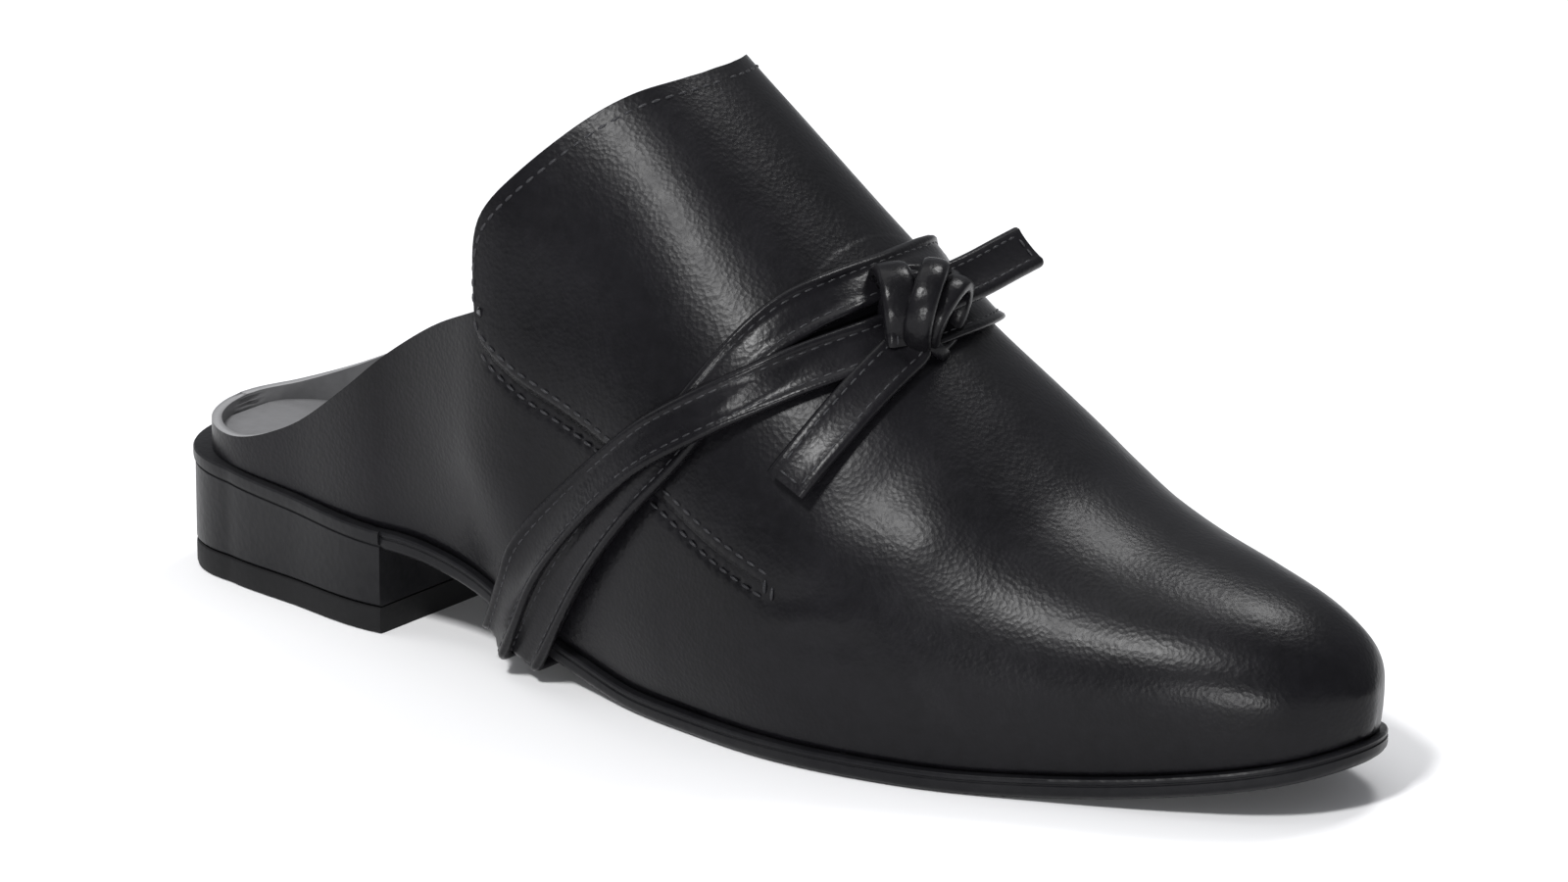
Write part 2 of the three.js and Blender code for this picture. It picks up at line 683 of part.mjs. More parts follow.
// One turn of the tie, taut round the shoe in a sheet that stands on its side-view path
function turnSolid(rows, spare = 0) {
  const path = turnPath(rows);
  const loops = [-1, -0.5, 0, 0.5, 1].map((share) => {
    const shift = share * (STRAP_WIDTH / 2 + spare);
    const points = [];
    for (let i = 0; i <= TURN_SAMPLES; i++) {
      const s = lerp(-2 * STRAP_WIDTH, INSTEP_HEIGHT + 3 * STRAP_WIDTH, i / TURN_SAMPLES);
      const { x: y, y: z } = path(s, shift);
      for (const side of [OUTER, INNER]) {
        const half = girthAt(y, z, side);
        if (half !== null) points.push(new THREE.Vector2(side * half, s));
      }
    }
    const hull = convexOutline(points);
    const loop = (distance) => {
      const placed = [];
      for (let k = 0; k < TURN_STEPS; k++) {
        const a = (2 * Math.PI * k) / TURN_STEPS;
        const out = new THREE.Vector2(Math.cos(a), Math.sin(a));
        const far = hull.reduce((best, p) => (p.dot(out) > best.dot(out) ? p : best));
        const slack = STRAP_SLACK * Math.max(0, -out.y) ** 2;
        const p = far.clone().addScaledVector(out, distance + slack);
        const side = path(p.y, shift);
        placed.push(new THREE.Vector3(p.x, side.x, side.y));
      }
      return placed;
    };
    const inner = GAP + STRAP_EASE;
    return { inside: loop(inner - spare), outside: loop(inner + STRAP_THICKNESS + spare) };
  });
  const rings = [...loops.map((l) => l.outside), ...loops.map((l) => l.inside).reverse()];
  const triangles = [];
  for (let r = 0; r < rings.length; r++) {
    const next = (r + 1) % rings.length;
    for (let k = 0; k < TURN_STEPS; k++) {
      const l = (k + 1) % TURN_STEPS;
      const a = r * TURN_STEPS + k;
      const b = r * TURN_STEPS + l;
      const c = next * TURN_STEPS + l;
      const d = next * TURN_STEPS + k;
      triangles.push([a, b, c], [a, c, d]);
    }
  }
  return solidFrom(rings.flat(), triangles);
}

function strapSolid(spare = 0) {
  return turnSolid(REAR_TURN, spare).add(turnSolid(FRONT_TURN, spare));
}

// The knot's outer form, grown by a margin
function knotLump(margin = 0) {
  const lump = new THREE.SphereGeometry(1, KNOT_STEPS.round, KNOT_STEPS.high);
  const half = [KNOT_SIZE.across, KNOT_SIZE.along, KNOT_SIZE.high].map((size) => size / 2 + margin);
  lump.scale(...half);
  lump.translate(...KNOT_AT.toArray());
  return toManifold(lump);
}

// The space that knot and ends leave to the bands
function bandSpace() {
  return strapSolid(2 * GAP).add(strapSolid().translate(0, 0, -GAP)).add(strapSolid().translate(0, 0, GAP));
}

// The main body of a solid that cutting has left with crumbs
function mainBody(solid) {
  return solid.decompose().reduce((best, body) => (body.volume() > best.volume() ? body : best));
}

// The knot, cut clear of the bands and the vamp under it
function knotSolid() {
  return mainBody(knotLump().subtract(bandSpace()).subtract(skinSolid(GAP)));
}

// Flat tie along a list of middles, with the direction that its face looks to at each
function ribbonSolid(middles, faces) {
  const w = STRAP_WIDTH / 2;
  const t = STRAP_THICKNESS / 2;
  const chamfer = t * STRAP_ROUND;
  const section = [
    [w, t - chamfer],
    [w - chamfer, t],
    [chamfer - w, t],
    [-w, t - chamfer],
    [-w, chamfer - t],
    [chamfer - w, -t],
    [w - chamfer, -t],
    [w, chamfer - t],
  ];
  const points = [];
  middles.forEach((m, i) => {
    const along = new THREE.Vector3().subVectors(
      middles[Math.min(i + 1, middles.length - 1)],
      middles[Math.max(i - 1, 0)],
    );
    const wide = new THREE.Vector3().crossVectors(faces[i], along).normalize();
    const up = new THREE.Vector3().crossVectors(along, wide).normalize();
    section.forEach(([a, b]) => points.push(m.clone().addScaledVector(wide, a).addScaledVector(up, b)));
  });
  const n = section.length;
  const triangles = [];
  for (let i = 0; i < middles.length - 1; i++) {
    for (let k = 0; k < n; k++) {
      const l = (k + 1) % n;
      const a = i * n;
      triangles.push([a + k, a + l, a + n + l], [a + k, a + n + l, a + n + k]);
    }
  }
  const end = (middles.length - 1) * n;
  for (let k = 1; k < n - 1; k++) {
    triangles.push([0, k + 1, k], [end, end + k, end + k + 1]);
  }
  return solidFrom(points, triangles);
}

function skinNormal(y, z, side) {
  const h = SLOPE_STEP;
  const x = (v, w) => halfAt(v, w, side) + side * middleAt(v);
  return new THREE.Vector3(
    side,
    -(x(y + h, z) - x(y - h, z)) / (2 * h),
    -(x(y, z + h) - x(y, z - h)) / (2 * h),
  ).normalize();
}

// The near end lies down the outer side of the vamp
function nearEndSolid() {
  const clear = 2 * GAP + STRAP_THICKNESS / 2;
  const onSkin = NEAR_END.map(({ y, z }) => ({ y, z: Math.min(z, ridgeHeight(y) - RIDGE_SHY) }));
  const faces = onSkin.map(({ y, z }) => skinNormal(y, z, OUTER));
  const middles = onSkin.map(({ y, z }, i) => {
    const skin = new THREE.Vector3(halfAt(y, z, OUTER) + middleAt(y), y, NEAR_END[i].z);
    return skin.addScaledVector(faces[i], clear);
  });
  return mainBody(ribbonSolid(middles, faces).subtract(knotLump(GAP)).subtract(bandSpace()));
}

// The far end stands out stiffly to the inner side
function farEndSolid() {
  const faces = FAR_END.map(() => FAR_END_FACE);
  return ribbonSolid(FAR_END, faces).subtract(knotLump(GAP)).subtract(bandSpace());
}

// Materials of the pieces
const BLACK = 0x17161a;
const SOCK_GREY = 0x8b8b8d;
const finish = (color, roughness) => new THREE.MeshStandardMaterial({ color, roughness, metalness: 0 });
const leather = finish(BLACK, 0.38);
const strapLeather = finish(BLACK, 0.3);
const soleBlack = finish(BLACK, 0.5);
const rubber = finish(BLACK, 0.7);
const sock = finish(SOCK_GREY, 0.6);

function meshOf(name, solid, material) {
  const mesh = solid.getMesh();
  const geometry = new THREE.BufferGeometry();
  geometry.setAttribute("position", new THREE.Float32BufferAttribute(mesh.vertProperties, 3));
  geometry.setIndex(new THREE.Uint32BufferAttribute(mesh.triVerts, 1));
  const piece = new THREE.Mesh(geometry, material);
  piece.name = name;
  return piece;
}

const shoe = [
  meshOf("outsole", outsoleSolid(), soleBlack),
  meshOf("heel", heelSolid(), soleBlack),
  meshOf("heel_top_piece", topPieceSolid(), rubber),
  meshOf("upper", upperSolid(), leather),
  meshOf("insole", insoleSolid(), sock),
  meshOf("strap_bands", strapSolid(), strapLeather),
];
const tie = [
  meshOf("tie_knot", knotSolid(), strapLeather),
  meshOf("tie_end_near", nearEndSolid(), strapLeather),
  meshOf("tie_end_far", farEndSolid(), strapLeather),
];

const group = new THREE.Group();
group.add(...shoe);
const box = new THREE.Box3().setFromObject(group);
const centre = box.getCenter(new THREE.Vector3());
group.add(...tie);
group.position.set(-centre.x, -centre.y, -box.min.z);

export default group;
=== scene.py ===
"""Looks of the mule shoe: leather shell, lining, sock, sole, heel and tie, built from the shoe's own sizes.

Sizes are in millimetres, measured from the back of the heel as in the part's source, and become metres
in the row frame at the end. +Y points to the toe, +X to the outer side of the right foot.
"""

import math

import bmesh
import bpy
import numpy as np
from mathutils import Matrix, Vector


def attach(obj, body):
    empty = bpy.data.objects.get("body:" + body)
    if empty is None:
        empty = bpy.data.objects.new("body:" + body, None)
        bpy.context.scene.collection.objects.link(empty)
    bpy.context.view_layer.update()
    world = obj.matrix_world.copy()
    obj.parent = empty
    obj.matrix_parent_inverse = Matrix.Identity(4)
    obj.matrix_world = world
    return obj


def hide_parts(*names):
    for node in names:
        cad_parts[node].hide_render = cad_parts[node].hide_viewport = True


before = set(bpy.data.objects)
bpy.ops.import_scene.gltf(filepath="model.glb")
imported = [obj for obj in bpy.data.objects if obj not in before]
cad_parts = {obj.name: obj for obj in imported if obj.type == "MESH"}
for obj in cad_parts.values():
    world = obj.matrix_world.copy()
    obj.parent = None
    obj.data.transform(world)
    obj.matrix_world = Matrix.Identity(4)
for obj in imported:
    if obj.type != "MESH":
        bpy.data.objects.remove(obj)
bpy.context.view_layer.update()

MM = 0.001
# The row frame's origin, seen from the back of the heel
SHIFT = np.array([-0.53, -128.75, 0.0])

# ---- sizes of the last, the sole and the upper
LENGTH = 257.5
SEAT_WIDTH, BALL_WIDTH = 44.0, 77.0
HEEL_LENGTH, HEEL_BACK, HEEL_FRONT, TOP_PIECE = 60.0, 23.8, 19.9, 5.0
LEDGE_BACK, LEDGE_SIDE, LEDGE_BREAST, LEDGE_FADE = 3.9, 1.1, 1.9, 24.0
SOLE_THICKNESS, SOLE_EDGE = 4.0, 1.5
TREAD_BACK, TREAD_FRONT, TOE_SPRING, TOE_OVERHANG = 126.0, 190.0, 8.5, 1.0
TOE_SWING, SWING_FROM, WAIST_TO = 5.0, 130.0, 103.0
INSTEP_HEIGHT, TONGUE_FOOT, TONGUE_HEIGHT, TONGUE_BACK = 85.0, 150.0, 110.8, 116.0
QUARTER_HEIGHT, WALL, OVERLAY, INSOLE_THICKNESS, GAP = 56.0, 1.9, 1.2, 3.0, 0.3
STRAP_WIDTH, STRAP_THICKNESS, STRAP_EASE, STRAP_SLACK = 8.5, 2.2, 0.72, 0.6
UPPER_BACK, UPPER_FRONT = LEDGE_BACK, LENGTH - SOLE_EDGE
TIP = UPPER_FRONT + TOE_OVERHANG
OUTER, INNER = 1, -1


def table(names, rows):
    """Columns of a small table by name."""
    return dict(zip(names.split(), np.array(rows, float).T))


SECTIONS = table("at outer inner fullOuter fullInner full square", [
    (0.0151, 0.0, 0.0, 0.0, 0.0, 0.1, 2.2),
    (0.031, 0.59, 0.59, 0.59, 0.59, 0.11, 2.2),
    (0.07, 0.89, 0.89, 0.9, 0.9, 0.13, 2.2),
    (0.14, 1.03, 1.02, 1.05, 1.05, 0.19, 2.3),
    (0.233, 1.16, 1.1, 1.24, 1.2, 0.34, 2.4),
    (0.326, 0.8, 0.69, 1.035, 1.03, 0.5, 2.4),
    (0.419, 0.76, 0.6, 0.92, 0.87, 0.5, 2.4),
    (0.52, 0.91, 0.8, 1.01, 0.93, 0.41, 2.2),
    (0.621, 1.01, 0.97, 1.07, 1.03, 0.3, 2.05),
    (0.722, 0.95, 0.985, 1.0, 1.04, 0.25, 2.0),
    (0.816, 0.765, 0.81, 0.82, 0.87, 0.25, 2.05),
    (0.901, 0.59, 0.56, 0.645, 0.605, 0.23, 2.1),
    (0.948, 0.47, 0.42, 0.51, 0.455, 0.18, 2.1),
    (0.975, 0.34, 0.295, 0.38, 0.335, 0.155, 2.1),
    (0.9942, 0.0, 0.0, 0.13, 0.11, 0.14, 2.1),
])
RIDGE = table("at high", [
    (0.583, 1.0), (0.62, 0.915), (0.65, 0.847), (0.68, 0.782), (0.713, 0.708), (0.745, 0.632),
    (0.78, 0.56), (0.827, 0.5), (0.877, 0.462), (0.928, 0.422), (0.955, 0.388), (0.982, 0.327),
    (0.993, 0.275),
])
COLLAR = table("at outer inner", [
    (0.012, 0.105, 0.105), (0.03, 0.1, 0.115), (0.06, 0.102, 0.17), (0.088, 0.128, 0.235),
    (0.12, 0.19, 0.31), (0.155, 0.285, 0.39), (0.202, 0.455, 0.51), (0.245, 0.625, 0.64),
    (0.295, 0.81, 0.82), (0.348, 1.0, 1.04),
])
TONGUE_EDGE = table("at up", [
    (0.348, 0.0), (0.345, 0.14), (0.343, 0.27), (0.3455, 0.38), (0.3545, 0.48), (0.373, 0.61),
    (0.408, 0.83), (0.432, 0.945), (0.4525, 1.0),
])
SEAM = table("at outer inner", [
    (0.348, 1.0, 1.04), (0.354, 0.91, 0.96), (0.381, 0.875, 0.93), (0.414, 0.855, 0.91),
    (0.478, 0.8, 0.85), (0.524, 0.7, 0.76), (0.569, 0.595, 0.655), (0.617, 0.51, 0.565),
])
REAR_TURN = table("at up", [
    (0.357, 0.1), (0.3765, 0.175), (0.3925, 0.26), (0.4185, 0.395), (0.466, 0.54), (0.515, 0.643),
    (0.571, 0.745), (0.61, 0.812), (0.645, 0.86),
])
FRONT_TURN = table("at up", [
    (0.381, 0.07), (0.398, 0.135), (0.4175, 0.215), (0.433, 0.295), (0.459, 0.4), (0.492, 0.512),
    (0.525, 0.612), (0.553, 0.735), (0.586, 0.895), (0.61, 0.945),
])
KNOT_AT = np.array([7.5, 166.5, 77.0])


# ---- the last, as in the part's source
def lerp(a, b, t):
    return a + (b - a) * t


def smooth(t):
    t = np.clip(t, 0.0, 1.0)
    return t * t * (3 - 2 * t)


def angle_at(y, front):
    return np.arccos(np.clip(1 - 2 * (np.asarray(y, float) - UPPER_BACK) / (front - UPPER_BACK), -1, 1))


def read_table(rows, column, y, front=TIP):
    """Smooth curve through a table's rows, which rounds off at both ends of the shoe."""
    knots = angle_at(rows["at"] * LENGTH, front)
    values = rows[column]
    a = angle_at(y, front)
    k = np.clip(np.searchsorted(knots, a, side="left") - 1, 0, len(knots) - 2)
    ahead = np.minimum(np.arange(len(knots)) + 1, len(knots) - 1)
    behind = np.maximum(np.arange(len(knots)) - 1, 0)
    slope = (values[ahead] - values[behind]) / (knots[ahead] - knots[behind])
    span = knots[k + 1] - knots[k]
    t = np.clip((a - knots[k]) / span, 0, 1)
    t2, t3 = t * t, t * t * t
    return ((2 * t3 - 3 * t2 + 1) * values[k] + (t3 - 2 * t2 + t) * span * slope[k]
            + (3 * t2 - 2 * t3) * values[k + 1] + (t3 - t2) * span * slope[k + 1])


def side_name(side):
    return "outer" if side == OUTER else "inner"


def with_tip(rows, **tip):
    """The table's named columns with one more row at the tip of the toe."""
    tip["at"] = TIP / LENGTH
    return {name: np.append(rows[name], tip[name]) for name in tip}


def middle_at(y):
    """The shoe's middle line, which swings to the inner side towards the toe."""
    t = np.maximum(0, (np.asarray(y, float) - SWING_FROM) / (LENGTH - SWING_FROM))
    return -TOE_SWING * t * t


def sole_top(y):
    y = np.asarray(y, float)
    heel = lerp(HEEL_BACK, HEEL_FRONT, y / HEEL_LENGTH)
    arch = lerp(HEEL_FRONT, SOLE_THICKNESS, smooth((y - HEEL_LENGTH) / (TREAD_BACK - HEEL_LENGTH)))
    t = np.maximum(0, (y - TREAD_FRONT) / (LENGTH - TREAD_FRONT))
    return np.where(y < HEEL_LENGTH, heel, np.where(y < TREAD_BACK, arch, SOLE_THICKNESS + TOE_SPRING * t * t))


def local_half(y):
    """Half of the width that the sections' shares refer to."""
    return lerp(SEAT_WIDTH, BALL_WIDTH, smooth((y - HEEL_LENGTH) / (WAIST_TO - HEEL_LENGTH))) / 2


def foot_half(y, side):
    """Half width of the upper where it meets the sole."""
    y = np.asarray(y, float)
    half = read_table(SECTIONS, side_name(side), y, UPPER_FRONT) * local_half(y)
    return np.where(y >= UPPER_FRONT, 0.0, np.maximum(0.0, half))


def full_half(y, side):
    """Half width of the upper at its fullest level."""
    y = np.asarray(y, float)
    column = "full" + side_name(side).title()
    half = read_table(with_tip(SECTIONS, **{column: 0.0}), column, y) * local_half(y)
    return np.where(y >= TIP, 0.0, np.maximum(foot_half(y, side), half))


def full_height(y):
    return sole_top(y) + read_table(SECTIONS, "full", y) * QUARTER_HEIGHT


def ridge_height(y):
    y = np.asarray(y, float)
    tongue = lerp(TONGUE_HEIGHT, INSTEP_HEIGHT, (y - TONGUE_BACK) / (TONGUE_FOOT - TONGUE_BACK))
    vamp = read_table(with_tip(RIDGE, high=float(full_height(TIP)) / INSTEP_HEIGHT), "high", y) * INSTEP_HEIGHT
    return np.where(y < TONGUE_FOOT, tongue, vamp)


def under_height(y):
    """Lowest level of the upper, which rises where the toe leans out over its seam."""
    past = np.clip((np.asarray(y, float) - UPPER_FRONT) / TOE_OVERHANG, 0, 1)
    return lerp(full_height(y), sole_top(y), np.sqrt(1 - past * past))


def half_at(y, z, side):
    """Half width of the upper's outside at place y and height z."""
    y, z = np.broadcast_arrays(np.asarray(y, float), np.asarray(z, float))
    full, foot, level, ridge = full_half(y, side), foot_half(y, side), full_height(y), ridge_height(y)
    power = read_table(SECTIONS, "square", y)
    rise = np.clip((z - level) / np.maximum(ridge - level, 1e-6), 0, 1)
    above = full * np.maximum(0, 1 - rise ** power) ** (1 / power)
    drop = (level - z) / np.maximum(level - under_height(y), 1e-6)
    below = np.sqrt(np.maximum(0, full * full - (full * full - foot * foot) * drop * drop))
    return np.where(z >= level, above, below)


def skin_normal(y, z, side, step=0.4, below_ridge=0.02, least_half=0.3):
    """Outward direction of the upper at a place, kept finite at the ridge."""
    z = np.minimum(z, ridge_height(y) - below_ridge)
    half = np.maximum(half_at(y, z, side), least_half)
    dy = (half_at(y + step, z, side) ** 2 - half_at(y - step, z, side) ** 2) / (2 * step)
    dz = (half_at(y, z + step, side) ** 2 - half_at(y, z - step, side) ** 2) / (2 * step)
    slant = side * (middle_at(y + step) - middle_at(y - step)) / (2 * step)
    n = np.stack([side * 2 * half, -dy - 2 * half * slant, -dz], -1)
    return n / np.maximum(np.linalg.norm(n, axis=-1, keepdims=True), 1e-9)


def above_sole(rows, side):
    """Side-view points of a table whose heights are shares of the quarter's height over the sole."""
    y = rows["at"] * LENGTH
    return np.stack([y, sole_top(y) + rows[side_name(side)] * QUARTER_HEIGHT], -1)


def unit(v):
    return v / np.linalg.norm(v, axis=-1, keepdims=True)


def reach_along(line):
    """Length of a line from its start to each of its points."""
    return np.append(0, np.cumsum(np.linalg.norm(np.diff(line, axis=0), axis=1)))


def read_line(line, reach, want):
    """Points of a line at these lengths from its start."""
    return np.stack([np.interp(want, reach, line[:, k]) for k in range(line.shape[1])], -1)


def spline(points, count, spread=lambda t: t):
    """Smooth line through points, read at even shares of its length."""
    p = np.asarray(points, float)
    padded = np.vstack([2 * p[0] - p[1], p, 2 * p[-1] - p[-2]])
    t = np.linspace(0, 1, 24, endpoint=False)[:, None]
    parts = []
    for a, b, c, d in zip(padded, padded[1:], padded[2:], padded[3:]):
        parts.append(0.5 * (2 * b + (c - a) * t + (2 * a - 5 * b + 4 * c - d) * t ** 2
                            + (3 * b - a - 3 * c + d) * t ** 3))
    line = np.vstack([*parts, p[-1:]])
    reach = reach_along(line)
    return read_line(line, reach, spread(np.linspace(0, 1, count)) * reach[-1])


def new_object(name, data):
    made = bpy.data.objects.new(name, data)
    bpy.context.scene.collection.objects.link(made)
    return made


# ---- camera at the photo's angle, before the pieces
CAMERA_AT = np.array([1285.3, 1110.4, 552.4])
CAMERA_AIM = np.array([0.5, 133.0, 44.5])
CAMERA_LENS, CAMERA_SENSOR, CAMERA_CLIP = 216.0, 36.0, (0.05, 30.0)
camera = new_object("camera", bpy.data.cameras.new("camera"))
camera.location = Vector((CAMERA_AT + SHIFT) * MM)
camera.rotation_euler = Vector((CAMERA_AIM - CAMERA_AT)).to_track_quat("-Z", "Y").to_euler()
camera.data.lens = CAMERA_LENS
camera.data.sensor_width = CAMERA_SENSOR
camera.data.clip_start, camera.data.clip_end = CAMERA_CLIP
bpy.context.scene.camera = camera


# ---- making meshes
def mesh_piece(name, points, faces, materials, slot, replaces=(), smooth_angle=None, face_slots=None):
    """A piece from points in millimetres; it rides on the root."""
    mesh = bpy.data.meshes.new(name)
    mesh.from_pydata(((np.asarray(points) + SHIFT) * MM).tolist(), [], [list(map(int, f)) for f in faces])
    for material in materials:
        mesh.materials.append(material)
    if face_slots is not None:
        mesh.polygons.foreach_set("material_index", np.asarray(face_slots, np.int32))
    mesh.validate()
    mesh.shade_smooth()
    if smooth_angle is not None:
        mesh.set_sharp_from_angle(angle=math.radians(smooth_angle))
    piece = new_object(name, mesh)
    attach(piece, "root")
    if replaces:
        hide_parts(*replaces)
    return piece


def grid_faces(rows, columns, start=0, wrap_rows=False, wrap_columns=False, flip=False):
    faces = []
    for i in range(rows if wrap_rows else rows - 1):
        for j in range(columns if wrap_columns else columns - 1):
            row, row_on = start + i * columns, start + (i + 1) % rows * columns
            j_on = (j + 1) % columns
            a, b, c, d = row + j, row + j_on, row_on + j_on, row_on + j
            faces.append((a, d, c, b) if flip else (a, b, c, d))
    return faces


class Parts:
    """Gathers many small forms into one mesh."""

    def __init__(self):
        self.points, self.faces, self.count = [], [], 0

    def add(self, points, faces):
        self.points.append(np.asarray(points, float))
        self.faces += [tuple(i + self.count for i in f) for f in faces]
        self.count += len(points)

    def piece(self, name, material, slot, replaces=(), smooth_angle=None):
        make = closed_piece if replaces else mesh_piece
        return make(name, np.vstack(self.points), self.faces, [material], slot, replaces, smooth_angle)


def clean_mesh(piece, join_within, least_edge=None):
    """Joins near points; an open mesh loses its least edges, and a closed one has its faces turned outwards."""
    bm = bmesh.new()
    bm.from_mesh(piece.data)
    bmesh.ops.remove_doubles(bm, verts=bm.verts, dist=join_within)
    if least_edge:
        bmesh.ops.dissolve_degenerate(bm, edges=bm.edges, dist=least_edge)
    else:
        bmesh.ops.recalc_face_normals(bm, faces=bm.faces)
    bm.to_mesh(piece.data)
    bm.free()


def closed_piece(*args):
    piece = mesh_piece(*args)
    clean_mesh(piece, join_within=2e-6)
    return piece


# ---- materials
def new_material(name, base, roughness, specular=0.15):
    material = bpy.data.materials.new(name)
    material.use_nodes = True
    shader = material.node_tree.nodes["Principled BSDF"]
    shader.inputs["Base Color"].default_value = (*base, 1)
    shader.inputs["Roughness"].default_value = roughness
    shader.inputs["Specular IOR Level"].default_value = specular
    return material, material.node_tree, shader


def add_node(tree, kind, **values):
    node = tree.nodes.new(kind)
    for key, value in values.items():
        if hasattr(node, key):
            setattr(node, key, value)
        else:
            node.inputs[key.replace("_", " ")].default_value = value
    return node


def noise(tree, coords, scale, detail=4.0, roughness=0.5, kind="ShaderNodeTexNoise"):
    node = add_node(tree, kind, Scale=scale)
    if kind == "ShaderNodeTexNoise":
        node.inputs["Detail"].default_value = detail
        node.inputs["Roughness"].default_value = roughness
    tree.links.new(coords, node.inputs["Vector"])
    return node


def map_range(tree, value, low, high, to_low, to_high):
    node = tree.nodes.new("ShaderNodeMapRange")
    for key, number in (("From Min", low), ("From Max", high), ("To Min", to_low), ("To Max", to_high)):
        node.inputs[key].default_value = number
    tree.links.new(value, node.inputs["Value"])
    return node.outputs["Result"]


def math_node(tree, operation, a, b):
    node = add_node(tree, "ShaderNodeMath", operation=operation)
    for socket, value in zip(node.inputs, (a, b)):
        if isinstance(value, (int, float)):
            socket.default_value = value
        else:
            tree.links.new(value, socket)
    return node.outputs[0]


def color_mix(tree, factor, dark, light):
    node = add_node(tree, "ShaderNodeMix", data_type="RGBA")
    tree.links.new(factor, node.inputs["Factor"])
    node.inputs["A"].default_value = (*dark, 1)
    node.inputs["B"].default_value = (*light, 1)
    return node.outputs["Result"]


# Scales of the leather's noises, per metre, their shares, and the depth of the grain in metres
CLOUDS, FINE, WRINKLES, PORES_TO_GRAIN = 28.0, 420.0, 160.0, 1.7
CLOUD_SHARE, FINE_SHARE, PORE_SHARE, WRINKLE_SHARE = 0.7, 0.3, 0.6, 0.7
GRAIN_DEPTH = 0.00012


def add_share(tree, first, second, share):
    return math_node(tree, "ADD", first, math_node(tree, "MULTIPLY", second, share))


def leather(name, dark, light, rough_low, rough_high, grain=0.25, grain_scale=1100.0):
    """Leather: pores and fine grain as bump, cloudy colour and uneven gloss."""
    material, tree, shader = new_material(name, dark, rough_low)
    coords = tree.nodes.new("ShaderNodeTexCoord").outputs["Object"]
    clouds = noise(tree, coords, CLOUDS, 5.0, 0.6).outputs["Fac"]
    fine = noise(tree, coords, FINE, 3.0, 0.55).outputs["Fac"]
    both = add_share(tree, math_node(tree, "MULTIPLY", clouds, CLOUD_SHARE), fine, FINE_SHARE)
    tint = color_mix(tree, map_range(tree, both, 0.35, 0.65, 0, 1), dark, light)
    tree.links.new(tint, shader.inputs["Base Color"])
    tree.links.new(map_range(tree, both, 0.3, 0.7, rough_low, rough_high), shader.inputs["Roughness"])
    cells = noise(tree, coords, grain_scale, kind="ShaderNodeTexVoronoi").outputs["Distance"]
    pores = noise(tree, coords, grain_scale * PORES_TO_GRAIN, 2.0).outputs["Fac"]
    wrinkles = noise(tree, coords, WRINKLES, 4.0, 0.6).outputs["Fac"]
    height = add_share(tree, add_share(tree, cells, pores, PORE_SHARE), wrinkles, WRINKLE_SHARE)
    bump = add_node(tree, "ShaderNodeBump", Strength=grain, Distance=GRAIN_DEPTH)
    tree.links.new(height, bump.inputs["Height"])
    tree.links.new(bump.outputs["Normal"], shader.inputs["Normal"])
    return material


# Where the painted highlight on the wall's edge fades into the edge's own dark colour, from the back of the
# heel
HIGHLIGHT_FADES_FROM, HIGHLIGHT_FADES_TO = 55.0, 88.0


def cut_edge_with_painted_highlight(name, back, front):
    """The wall's cut edge: its own dark colour along the quarters and the tongue, with a painted highlight that
    turns it pale round the low back.
    """
    material = leather(name, front, front, 0.35, 0.5, 0.2, 1500.0)
    tree = material.node_tree
    shader = tree.nodes["Principled BSDF"]
    place = tree.nodes.new("ShaderNodeSeparateXYZ")
    tree.links.new(tree.nodes.new("ShaderNodeTexCoord").outputs["Object"], place.inputs["Vector"])
    # the share runs from the painted highlight at the back to the edge's own dark colour further forward
    share = map_range(tree, place.outputs["Y"], (HIGHLIGHT_FADES_FROM + SHIFT[1]) * MM, (HIGHLIGHT_FADES_TO + SHIFT[1]) * MM, 0, 1)
    tree.links.new(color_mix(tree, share, back, front), shader.inputs["Base Color"])
    return material


# Each leather: its darkest and lightest colour, its range of roughness, and the strength and scale of its grain
BLACK = leather("black_leather", (0.0026, 0.0025, 0.0031), (0.0058, 0.0055, 0.0069), 0.28, 0.40, 0.34)
TIE = leather("tie_leather", (0.0030, 0.0029, 0.0036), (0.0070, 0.0066, 0.0080), 0.24, 0.36, 0.30)
LINING = leather("grey_lining", (0.10, 0.10, 0.104), (0.15, 0.15, 0.154), 0.28, 0.40, 0.15, 900.0)
# cut edge: the pale colour round the low back is a painted highlight, and the dark colour is the edge's own
RIM = cut_edge_with_painted_highlight("cut_edge_with_painted_highlight", (0.24, 0.24, 0.245), (0.022, 0.022, 0.024))
SOCK = leather("grey_sock", (0.11, 0.11, 0.113), (0.16, 0.16, 0.164), 0.24, 0.36, 0.15, 900.0)
SOLE = leather("sole_edge", (0.004, 0.004, 0.005), (0.009, 0.009, 0.010), 0.26, 0.42, 0.3, 700.0)
HEEL = leather("heel_stack", (0.004, 0.004, 0.005), (0.010, 0.010, 0.011), 0.28, 0.42, 0.3, 700.0)
RUBBER = leather("top_piece_rubber", (0.005, 0.005, 0.0055), (0.010, 0.010, 0.0105), 0.5, 0.7, 0.35, 600.0)
THREAD = leather("thread", (0.014, 0.014, 0.016), (0.035, 0.035, 0.038), 0.30, 0.45, 0.4, 2500.0)
TREAD = leather("sole_tread", (0.012, 0.012, 0.013), (0.024, 0.024, 0.025), 0.5, 0.7, 0.4, 500.0)

STITCH_PITCH, STITCH_LENGTH, STITCH_RADIUS = 2.7, 1.9, 0.28
SEAM_ROW, EDGE_ROW = 2.3, 2.9  # the stitch rows' distance from the seam and from the tongue's edge

